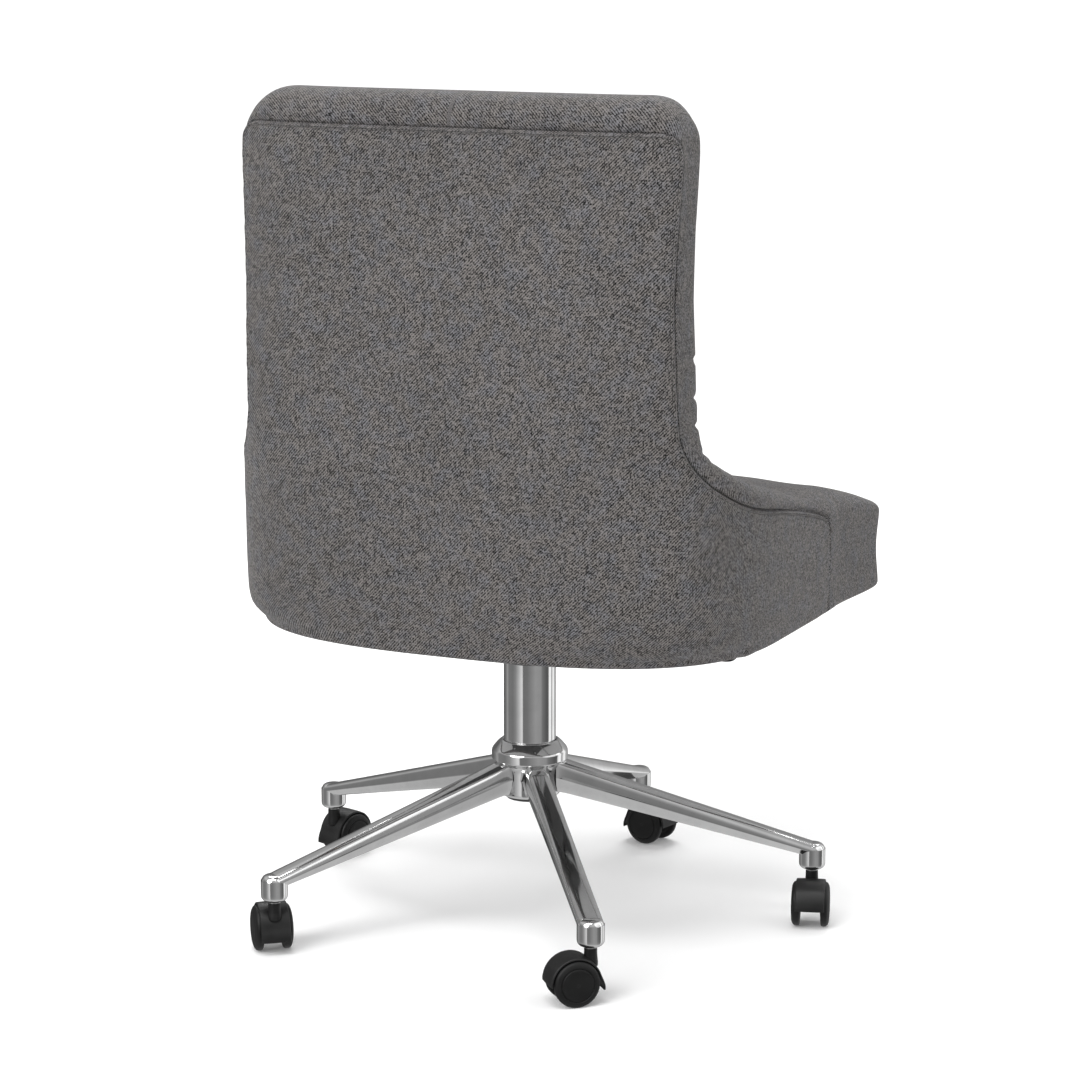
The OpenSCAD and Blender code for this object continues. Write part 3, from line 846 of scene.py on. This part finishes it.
def tufting(x, z):
    """How far the tufted face is pulled back (+) or swells forward (-). Past the outer buttons the
    diagonal folds run on as straight pleats."""
    across = (np.clip(x, -144, 144) - 48) / BUTTON_X
    up = (np.clip(z, BUTTONS_LOW_Z, BUTTONS[:, 1].max()) - BUTTONS_LOW_Z) / (2 * BUTTON_Z)
    p, q = across + up, across - up
    fold_scale = BUTTON_X * 2 * BUTTON_Z / math.hypot(BUTTON_X, 2 * BUTTON_Z)
    folds = sum(FOLD_DEEP * np.exp(-(np.abs(v - np.round(v)) * fold_scale / FOLD_WIDE) ** 2)
                for v in (p, q))
    swell = SWELL * np.abs(np.sin(np.pi * p) * np.sin(np.pi * q)) ** 0.8
    fade = smoothstep(np.abs(x), 214, 165) * smoothstep(z, 500, 548) * smoothstep(z, 864, 822)
    pull = sum(PULL_DEEP * np.exp(-(np.hypot(x - bx, z - bz) / PULL_WIDE) ** 2)
               for bx, bz in BUTTONS)
    return fade * (folds - swell - SWELL_BASE) + pull


def back_section():
    """What the cover is drawn from, for each point of the +X seam above the seat: the seam itself,
    the rise to its outline, the way it runs on and how far, the turn-in of its front corner, and
    the way in from the outline to the face."""
    seam = SEAM[np.argmax(SEAM[:, 1] > 438.0):]
    s3 = shell_point(seam[:, 0], seam[:, 1])
    level = s3[:, 2]
    z = np.where(np.arange(len(seam)) < np.argmax(seam[:, 1] > 828), seam[:, 1], 828)
    run, turn, drop = (np.interp(z, BAND_Z, v) for v in (BAND_RUN, BAND_TURN, BAND_DROP))
    top = smoothstep(level, 835, TOP_Z) * smoothstep(s3[:, 0], 236, 200)
    run, turn = blend(run, TOP_RUN, top), blend(turn, TOP_TURN, top)
    tangent = np.abs(unit(np.gradient(relax(s3[:, 1:], 6), axis=0)))
    onward = beside(0, -tangent[:, 1], tangent[:, 0])
    onward = blend(onward, np.array([0, -1.0, 0]), smoothstep(level, 545, 590)[:, None])
    onward = unit(relax(onward, 5))
    low = 590.0
    is_back = smoothstep(level, 540, 600)[:, None]
    outline, face_line = (follow(rounded_frame(*size, low), s3[:, [0, 2]], low) for size in (
        (BACK_HALF_W, CREST_Z, OUTLINE_R), (FACE_HALF_W, FACE_TOP_Z, FACE_R)))
    stand = -5 + 6 * smoothstep(level, 448, 476)
    to_outline, to_face = outline - s3[:, [0, 2]], face_line - outline
    rise = blend(beside(stand, 0, 0),
                 beside(to_outline[:, 0], 0, to_outline[:, 1]), is_back)
    inward = blend(beside(-drop, 0, 0),
                   beside(to_face[:, 0], 0, to_face[:, 1]), is_back)
    return s3, rise, onward, run, turn, inward


BAND_START_ROWS = 26
BAND_CORNER_ROWS = 22
FACE_ROWS = 52
# Small tucks in the edge of the back: (height, half width)
NICKS = ((541, 3.4), (566, 2.6), (593, 3.2), (631, 2.8))
NICK_DEEP = 2.4
SKIRT = 34


def face_rows(edge, seam_length):
    """Rows from the front corner's edge in to the middle of the face."""
    foot = smoothstep(seam_length, 330, 150)
    goal_z = 505 + (seam_length / seam_length[-1]) * 300 - 60 * foot
    goal_y = FACE_Y + 6
    rows = []
    for t in np.linspace(0, 1, FACE_ROWS)[1:]:
        x = edge[:, 0] * (1 - t)
        z = blend(edge[:, 2], goal_z, t + foot * (smoothstep(t, 0, 0.35) - t))
        # How far inside the face's edge, whichever side of it is nearer
        inner = -14 * np.log(np.exp(-(FACE_HALF_W - np.abs(x)) / 14)
                             + np.exp(-(FACE_TOP_Z - z) / 14))
        y = blend(blend(edge[:, 1], goal_y - 4, smoothstep(inner, -8, 70)),
                  blend(edge[:, 1], goal_y, smoothstep(t, 0, 0.8)), foot)
        # The face stays ahead of the timber frame behind it.
        ahead = FRAME_FRONT_Y - 7 + 60 * smoothstep(np.abs(x), FRAME_HALF_W + 1, FRAME_HALF_W + 32)
        y = y - 4 * np.log1p(np.exp((y - ahead) / 4))
        rows.append(beside(x, y, z))
    return rows


def make_back_cover(material):
    """The padded roll above the seam, the wings and the tufted face, as one cover."""
    s3, rise, onward, run, turn, inward = back_section()
    columns = len(s3)
    normal = shell_normal(SEAM[-columns:, 0], SEAM[-columns:, 1])
    seam_length = along_curve(s3)
    rows = [s3 - normal * 11 - onward * 6, s3 - normal * 7 - onward * 1.5]
    begin = s3 - normal * 4.2 + onward * 0.4
    for t in np.linspace(0, 1, BAND_START_ROWS):
        up, over = quarter(t, 2.3)
        rows.append(begin + (rise + normal * 4.2) * up + onward * (run * over)[:, None])
    crest = rows[-1]
    for t in np.linspace(0, 1, BAND_CORNER_ROWS)[1:]:
        over, down = quarter(t, 2.2)
        rows.append(crest + onward * (turn * over)[:, None] + inward * down)
    grid = np.array(rows + face_rows(rows[-1], seam_length))
    number = np.arange(len(grid))[:, None]
    face_start = len(grid) - FACE_ROWS
    face = smoothstep(number, face_start - 13, face_start + 3)
    grid[..., 1] += tufting(grid[..., 0], grid[..., 2]) * face
    nick = sum(NICK_DEEP * np.exp(-((grid[..., 2] - z) / width) ** 2) for z, width in NICKS)
    nick = nick * smoothstep(grid[..., 0], 205, 234) * smoothstep(grid[..., 1], 150, 132)
    grid[..., 0] -= nick
    grid[..., 1] += nick
    ripple = pucker(seam_length[None], np.linalg.norm(grid - s3[None], axis=2), 12.0, 0.3)
    grid += normal[None] * (ripple * (number < BAND_START_ROWS))[..., None]
    cloth = np.where(face[..., None] > 0.98, grid[..., [0, 2]], wrapped(seam_length, grid))
    grid = np.concatenate([grid, grid[:, -2::-1] * [-1, 1, 1]], axis=1)
    cloth = np.concatenate([cloth, cloth[:, -2::-1] * [-1, 1]], axis=1)
    # A skirt at each end goes down behind the seat.
    ends = [grid[:, [k]] * [0.985, 1, 1] - [0, 0, SKIRT] for k in (0, -1)]
    grid = np.concatenate([ends[0], grid, ends[1]], axis=1)
    cloth = np.concatenate([cloth[:, [0]] - [SKIRT, 0], cloth, cloth[:, [-1]] + [SKIRT, 0]], axis=1)
    form = grid.reshape(-1, 3), grid_faces(*grid.shape[:2])
    piece = mesh_piece("back_cover", form, material, ["back_pad"], cloth.reshape(-1, 2))
    return piece


def make_buttons(material):
    """Covered buttons, domed, each with a shallow rolled edge."""
    profile = rounded([(0.0, -6.2), (5.5, -5.6), (9.6, -3.4), (11.0, -0.6), (10.4, 1.4), (7.0, 2.4),
                       (0.0, 2.4)], 2)
    points, faces = lathe(profile, 40)
    faces = [face[::-1] for face in faces]
    points, faces = join_parts([(points[:, [0, 2, 1]] + [x, FACE_Y + 8.5, z], faces)
                                for x, z in BUTTONS])
    return mesh_piece("back_buttons", (points, faces), material, ["tuft_buttons"],
                      points[:, [0, 2]])


# ------------------------------------------------------------------ seat cover

SEAT_SIDE_X = 278.0
FRONT_FACE_Y = node_box("front_apron")[0][1] + 4.5
SEAT_CORNER_R = 36.0
SEAT_REAR_Y = 112.0
# Height of the seat's top over its middle, and of the shoulder round its edge, from front to rear
TOP_Y = [-366, -351, -335, -290, -216, -133, -60, 0, 92, 130]
TOP_H = [396, 406, 416, 432, 450, 463, 468, 470.5, 472, 472]
SHOULDER_Y = [-366, -330, -290, -157, -90, -48, -4, 36, 67, 95, 130]
SHOULDER_H = [389, 408, 416, 429, 442, 451, 459, 463, 465, 466, 467]
FINE_TOP_Y = np.linspace(TOP_Y[0], TOP_Y[-1], 200)
FINE_TOP_H = relax(np.interp(FINE_TOP_Y, TOP_Y, TOP_H), 60)
CROWN = 7.5
WALL_ROWS, SHOULDER_ROWS, TOP_ROWS = 30, 24, 50


def seat_top(x, y):
    """Height of the seat's top: the profile over its middle, less towards the sides."""
    crown = CROWN * np.clip(1 - (x / 240) ** 2, 0, 1) * smoothstep(y, -352, -250)
    return np.interp(y, FINE_TOP_Y, FINE_TOP_H) + crown


def seat_outline():
    """The +X half of the seat in plan, from the rear centre, round the rear, to the front centre.
    Its points are closer where it passes the panel's front edge."""
    turn = np.radians(np.arange(0, -91, -6))
    front = beside(SEAT_SIDE_X - SEAT_CORNER_R + SEAT_CORNER_R * np.cos(turn),
                      FRONT_FACE_Y + SEAT_CORNER_R + SEAT_CORNER_R * np.sin(turn))
    shell = shell_point(np.linspace(0, HALF_LENGTH, 400), np.full(400, 450.0))
    along = shell[(shell[:, 1] < 76) & (shell[:, 1] > FRONT_Y + 14)][:, :2] - [4.0, 0]
    line = np.vstack([[[0, SEAT_REAR_Y], [225, SEAT_REAR_Y]], along, front, [[0, FRONT_FACE_Y]]])
    line = relax(resample(line, spacing=4.0), 5)
    length = along_curve(line)
    corner = np.interp(-FRONT_Y, -line[:, 1][20:], length[20:])
    fine = np.arange(corner - 14, corner + 14, 0.8)
    places = np.concatenate([length[length < corner - 15], fine, length[length > corner + 15]])
    return resample(line, places=places)


def make_seat_cover(material):
    """The crowned seat whose cover runs on down over the front and turns under all round."""
    line = seat_outline()
    y = line[:, 1]
    outward = unit(relax(left_of(unit(np.gradient(line, axis=0))), 4))
    out3 = beside(outward[:, 0], outward[:, 1], 0)
    up = np.array([0, 0, 1.0])
    behind_panel = smoothstep(y, FRONT_Y - 1, FRONT_Y + 9)
    is_front = smoothstep(y, FRONT_FACE_Y + 44, FRONT_FACE_Y + 4)
    shoulder = blend(np.interp(y, SHOULDER_Y, SHOULDER_H), 402, is_front)
    turn_in = 30 + 14 * smoothstep(y, -345, -270)
    inner = line - outward * turn_in[:, None]
    rise = np.maximum(seat_top(inner[:, 0], inner[:, 1]) - shoulder, 4)
    foot_z = RIM_Z + RIM_R - 5.0 * smoothstep(y, -190, -330)
    base = beside(line[:, 0], y, foot_z) - out3 * behind_panel[:, None] * 0.5
    rows = [base - out3 * (RIM_R + hem) - up * (RIM_R - HEM_RISE * hem) for hem in HEMS[::-1]]
    rows += [base - out3 * RIM_R * (1 - math.cos(a)) - up * RIM_R * math.sin(a)
             for a in np.radians(RIM_TURNS[::-1])]
    for t in np.linspace(0, 1, WALL_ROWS):
        pulled = 2.6 * np.sin(np.pi * t) ** 1.5 * (1 - behind_panel)
        rows.append(base + up * ((shoulder - foot_z) * t)[:, None] - out3 * pulled[:, None])
    shoulder_row = rows[-1]
    for t in np.linspace(0, 1, SHOULDER_ROWS)[1:]:
        over, down = quarter(t, 2.15)
        rows.append(shoulder_row + up * (rise * over)[:, None] - out3 * (turn_in * down)[:, None])
    edge = rows[-1]
    top_start = len(rows)
    for t in np.linspace(0, 1, TOP_ROWS)[1:]:
        x = edge[:, 0] * (1 - t)
        row_y = blend(edge[:, 1], np.clip(y, -262, 60), t)
        z = blend(seat_top(x, row_y), edge[:, 2], smoothstep(t, 0.3, 0.0))
        rows.append(beside(x, row_y, z))
    grid = np.array(rows)
    # Beside the panel's seam the cover stands out in a small roll; behind the panel it draws in.
    distance, place = (v.reshape(grid.shape[:2]) for v in
                       polyline_distance(grid[..., 1:].reshape(-1, 2), SEAM_YZ))
    level = grid[..., 2]
    rising_y = SEAM_YZ[:, 0] + np.arange(len(SEAM_YZ)) * 1e-6
    seam_level = np.interp(grid[..., 1], rising_y, SEAM_YZ[:, 1])
    outside = np.maximum(smoothstep(grid[..., 1], FRONT_Y + 0.5, FRONT_Y - 0.5),
                         smoothstep(level, seam_level - 0.8, seam_level + 0.8))
    rolled = 3.4 * smoothstep(distance, 0.3, 4.6) - 2.6 * np.exp(-(distance / 1.3) ** 2)
    rolled = rolled * (1 - 0.55 * smoothstep(level, 408, 384)) + pucker(place, distance, 9.0, 0.22)
    swell = outside * rolled - (1 - outside) * 2.2
    swell = swell * smoothstep(grid[..., 0], 225, 262) * smoothstep(distance, 46, 10)
    grid += out3[None] * swell[..., None]
    grid[..., 2] += 0.25 * np.sin(grid[..., 0] / 31 + grid[..., 1] / 47)
    is_top = (np.arange(len(grid)) >= top_start)[:, None, None]
    cloth = np.where(is_top, grid[..., :2], wrapped(along_curve(line), grid))
    grid = np.concatenate([grid, grid[:, -2:0:-1] * [-1, 1, 1]], axis=1)
    cloth = np.concatenate([cloth, cloth[:, -2:0:-1] * [-1, 1]], axis=1)
    form = grid.reshape(-1, 3), grid_faces(*grid.shape[:2], closed=True, flip=True)
    piece = mesh_piece("seat_cover", form, material, ["seat_pad", "front_apron"],
                       cloth.reshape(-1, 2))
    return piece


# ------------------------------------------------------------------ base, castors and lever

CASTORS = range(1, 6)


def middle_of(node):
    """Middle of a CAD node, in millimetres."""
    low, high = node_box(node)
    return (low + high) / 2


HUB_LOW_Z = 132.0
# The arms: half width, top and foot of the arm, at its root and at the post on its end.
ARM_START, ARM_END, POST_R = 24.0, 304.0, 14.0
ARM_HALF_W, ARM_TOP_Z, ARM_LOW_Z = (14.6, POST_R), (174.0, 86.0), (138.0, 72.0)
ARM_STATIONS = np.concatenate([[30, 32, 34, 36.5, 40, 45, 52, 62], np.linspace(76, ARM_END, 24)])


def hub_form():
    """The turned hub with its bevelled collar under the column's sleeve."""
    foot, top = HUB_LOW_Z, node_box("column_sleeve")[0][2]
    return lathe(rounded([
        (25.5, foot + 1.5), (29, foot), (31.2, foot), (33, foot + 2.4), (33, foot + 6), (33, 158),
        (33.3, 163), (34.6, 167.0), (39.6, 170.4), (41, 171.6), (41, 173.4), (41, 178.6),
        (40.8, 180.6), (39.6, 183.0), (36.0, 187.4), (32.6, 190.8), (30.4, top), (28.6, top),
        (28.0, top - 1.0)], 2), 128)


def arm_forms():
    """One arm along +X: the tapering arm with its flared root, its round end and its post."""
    section = rounded([
        (0, 1.0), (0.42, 1.0), (0.74, 0.93), (0.90, 0.76), (1.0, 0.50), (0.93, 0.40), (0.70, 0.05),
        (0.60, 0.0), (0, 0.0)], 3)
    wide, high = section.T
    rings = []
    for x in ARM_STATIONS:
        share = (x - ARM_START) / (ARM_END - ARM_START)
        flare = np.exp(-((x - ARM_STATIONS[0]) / 4.0))
        half = blend(*ARM_HALF_W, share) * (1 + 0.14 * flare)
        top, low = blend(*ARM_TOP_Z, share) + 1.5 * flare, blend(*ARM_LOW_Z, share) - 1.5 * flare
        right = beside(x, wide * half, low + high * (top - low))
        rings.append(np.vstack([right, (right[::-1] * [1, -1, 1])[1:-1]]))
    r, z = wide * POST_R, right[:, 2]
    end = [beside(ARM_END + r * np.sin(turn), r * np.cos(turn), z)
           for turn in np.radians(np.arange(0, 181, 10))]
    post, post_faces = lathe(rounded([(0, 58.0), (6.5, 58.0), (10.6, 58.0), (13.2, 60.6),
                                      (POST_R, 62.6), (POST_R, 70), (POST_R, 80)], 2), 64)
    return [(np.vstack(rings), grid_faces(len(rings), len(rings[0]), closed=True)),
            (np.vstack(end), grid_faces(len(end), len(section))),
            (post + [ARM_END, 0, 0], post_faces)]


def make_hub_and_arms(material):
    """The five-arm base. Each arm points at its castor's stem."""
    parts = [hub_form()]
    for k in CASTORS:
        x, y, _ = middle_of(f"castor_stem_{k}")
        c, s = x / math.hypot(x, y), y / math.hypot(x, y)
        turned = np.array([[c, s, 0], [-s, c, 0], [0, 0, 1]])
        parts += [(points @ turned, faces) for points, faces in arm_forms()]
    return mesh_piece("star_base_polished", join_parts(parts), material, ["star_base"],
                      sharp_angle=48)


def make_sleeve(material):
    low, high = node_box("column_sleeve")
    r, foot, top = (high[0] - low[0]) / 2, low[2], high[2]
    form = lathe(rounded([(r - 3, foot - 2), (r - 0.8, foot - 2), (r, foot + 0.4), (r, foot + 4),
                          (r, top - 5), (r, top - 1.6), (r - 1.2, top), (r - 3, top)], 2), 128)
    return mesh_piece("column_sleeve_polished", form, material, ["column_sleeve"], sharp_angle=50)


def castor_axle(k):
    """How far castor k's axle trails behind its stem, and the axle's height."""
    stem, axle = middle_of(f"castor_stem_{k}"), middle_of(f"castor_axle_{k}")
    return math.hypot(*(axle - stem)[:2]), axle[2]


def place_castor(points, k):
    """Local castor points (along the trail, along the axle, up) in the chair's frame."""
    stem, axle = middle_of(f"castor_stem_{k}"), middle_of(f"castor_axle_{k}")
    trail = unit((axle - stem) * [1, 1, 0])
    across = np.cross([0, 0, 1], trail)
    return stem * [1, 1, 0] + np.asarray(points, float) @ np.array([trail, across, [0, 0, 1]])


HOOD_HALF_W, HOOD_R, HOOD_INNER_R, HOOD_EDGE = 15.6, 26.9, 24.7, 1.1
WEB_HALF_W, WEB_R = 9.5, 24.9


def hood_form(k):
    """The fender over the wheels with its flared tip, the neck and the web that holds the axle."""
    trail, axle_z = castor_axle(k)
    half, edge = HOOD_HALF_W, HOOD_EDGE
    rings = []
    for degrees in np.concatenate([np.linspace(-3, 30, 12), np.linspace(36, 150, 26),
                                   np.linspace(154, 196, 16)]):
        flare = 5.2 * smoothstep(degrees, 158, 198) ** 1.5
        tail = smoothstep(degrees, 12, -3) * 0.6
        thin = 0.7 * smoothstep(degrees, 175, 198) + 0.6 * smoothstep(degrees, 6, -3)
        outer = HOOD_R + flare + tail - thin
        inner = HOOD_INNER_R + flare * 0.85 + tail
        y, r = rounded([(-half, inner), (-half, outer - edge), (-half + edge, outer),
                        (half - edge, outer), (half, outer - edge), (half, inner),
                        (half - 1.6, inner - 0.1), (-half + 1.6, inner - 0.1)], 1, closed=True).T
        a = math.radians(degrees)
        rings.append(beside(trail + r * math.cos(a), y, axle_z + r * math.sin(a)))
    neck = lathe(rounded([(0, 57.4), (5.0, 57.4), (6.5, 56.2), (6.6, 52), (6.8, 46), (7.4, 42),
                          (7.4, 36), (0, 36)], 2), 40)
    turn = np.radians(np.linspace(-2, 196, 40))
    rim = beside(trail + WEB_R * np.cos(turn), axle_z + WEB_R * np.sin(turn))
    x, z = np.vstack([rim, [[trail - 8, axle_z - 6], [trail + 8, axle_z - 6]]]).T
    web = [beside(x, y, z) for y in (-WEB_HALF_W, WEB_HALF_W)]
    return join_parts([tube(rings), neck, tube(web, flip=True)])


def make_hood(k, material):
    points, faces = hood_form(k)
    return mesh_piece(f"castor_hood_moulded_{k}", (place_castor(points, k), faces), material,
                      [f"castor_hood_{k}"], sharp_angle=40)


def make_wheel(k, side, sign, material):
    """A wheel with a round-edged tread, a domed cover, a recessed ring and a centre boss."""
    trail, r = castor_axle(k)
    inside, outside = 10.7, 20.4
    points, faces = lathe(rounded([
        (3.1, inside), (r - 7, inside), (r - 6, inside + 0.6), (r - 1.6, inside + 0.4),
        (r - 0.4, inside + 1.0), (r, inside + 2.0), (r, inside + 5.6), (r - 0.5, inside + 6.8),
        (r - 1.5, inside + 7.7), (r - 3.2, inside + 8.6), (r - 5.2, outside - 0.45),
        (r - 5.9, outside - 0.6), (r - 6.3, outside - 1.3), (r - 7.0, outside - 1.3),
        (r - 7.4, outside - 0.5), (r - 9.5, outside - 0.1), (8, outside), (3, outside),
        (0, outside)], 2), 96)
    local = points[:, [0, 2, 1]] * [1, sign, 1] + [trail, 0, r]
    if sign > 0:
        faces = [face[::-1] for face in faces]
    return mesh_piece(f"castor_wheel_{side}_{k}", (place_castor(local, k), faces), material,
                      [f"wheel_{side}_{k}"], sharp_angle=55)


PADDLE_SHORTER, PADDLE_DROP, PADDLE_THICK = 13, 6.4, 3.1


def make_paddle(material):
    """The lever's grip: a flat rounded tongue that thins towards its tip."""
    low, high = node_box("lever_paddle")
    middle, half = (low[1] + high[1]) / 2, (high[1] - low[1]) / 2 - 2
    turn = np.linspace(0, 2 * np.pi, 33)[:-1]
    ring_y = np.sign(np.cos(turn)) * np.abs(np.cos(turn)) ** 0.5
    ring_z = np.sign(np.sin(turn)) * np.abs(np.sin(turn)) ** 0.5
    rings = []
    for t in np.linspace(0, 1, 24):
        x = blend(high[0], low[0] + PADDLE_SHORTER, 1 - (1 - t) ** 1.6)
        narrow = 0.72 + 0.28 * math.sin(math.pi * min(t * 1.3, 1) / 2)
        narrow = half * narrow * math.sqrt(max(1 - t ** 7, 0.02))
        thick = PADDLE_THICK * (1 - 0.35 * t) * math.sqrt(max(1 - t ** 9, 0.04))
        rings.append(beside(x, middle + narrow * ring_y,
                               high[2] - PADDLE_DROP + thick * ring_z))
    return mesh_piece("lever_grip", tube(rings), material, ["lever_paddle"], sharp_angle=50)


# ------------------------------------------------------------------ put together

CAD_FINISH = {
    "steel": lambda: metal("brushed_steel", 0.5, 0.25, 0.4, 0.3),
    "chrome_column": lambda: metal("chrome_parts", 0.5, 0.08, 0.16),
    "black_steel": lambda: plastic("painted_steel", 0.02, 0.3, 0.45, 1200.0, 0.3),
    "castor_plastic": lambda: plastic("paddle_plastic", 0.016),
    "inner_plastic": lambda: plastic("bush_plastic", 0.03, 0.45, 0.6),
    "wood_board": lambda: timber("plywood"),
    "webbing": lambda: linen("webbing_weave", Surface.place, 1.4 * MM, 0.02, 0.07),
    "dust_cloth": lambda: felt("dust_cloth", 0.30),
    "polished_base": lambda: metal("base_metal", 0.5, 0.08, 0.14),
    "upholstery": lambda: linen("spare_cloth", Surface.place),
}


def finish_cad_nodes():
    """Gives every CAD node its slot's finish, and the hard ones a small round on their edges."""
    slots = {row["node"]: row["material_slot"] for row in frame["record"]["subparts"]}
    made = {}
    for name, obj in frame["nodes"].items():
        slot = slots[name]
        if slot not in made:
            made[slot] = CAD_FINISH[slot]()
        for place in obj.material_slots:
            place.material = made[slot]
        if slot not in ("upholstery", "webbing", "dust_cloth"):
            bevel = obj.modifiers.new("edge_round", "BEVEL")
            bevel.width = 0.5 * MM
            bevel.segments = 2
            bevel.limit_method = "ANGLE"
            bevel.angle_limit = math.radians(40)


def settle(piece, body):
    """Makes a piece move with its body."""
    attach(piece, body)


def build():
    make_camera()
    make_floor()
    make_world()
    make_lights()
    bpy.context.scene.view_settings.view_transform = "Standard"
    cloth = linen("upholstery_linen", Surface.cloth_place)
    finish_cad_nodes()
    for make in (make_outer_panel, make_back_cover, make_seat_cover, make_buttons):
        settle(make(cloth), "seat")
    settle(make_topstitch(sewing_thread("topstitch_thread")), "seat")
    polished = metal("polished_base", 0.80, 0.05, 0.11, 0.08)
    settle(make_hub_and_arms(polished), "base")
    settle(make_sleeve(polished), "base")
    hood_black = plastic("castor_hood_black", 0.006, 0.40, 0.52, level=0.36)
    wheel_black = plastic("castor_wheel_black", 0.005, 0.44, 0.56, level=0.30)
    settle(make_paddle(hood_black), "lever")
    for k in CASTORS:
        settle(make_hood(k, hood_black), f"castor_{k}")
        for side, sign in (("left", 1), ("right", -1)):
            settle(make_wheel(k, side, sign, wheel_black), f"roller_{side}_{k}")


build()
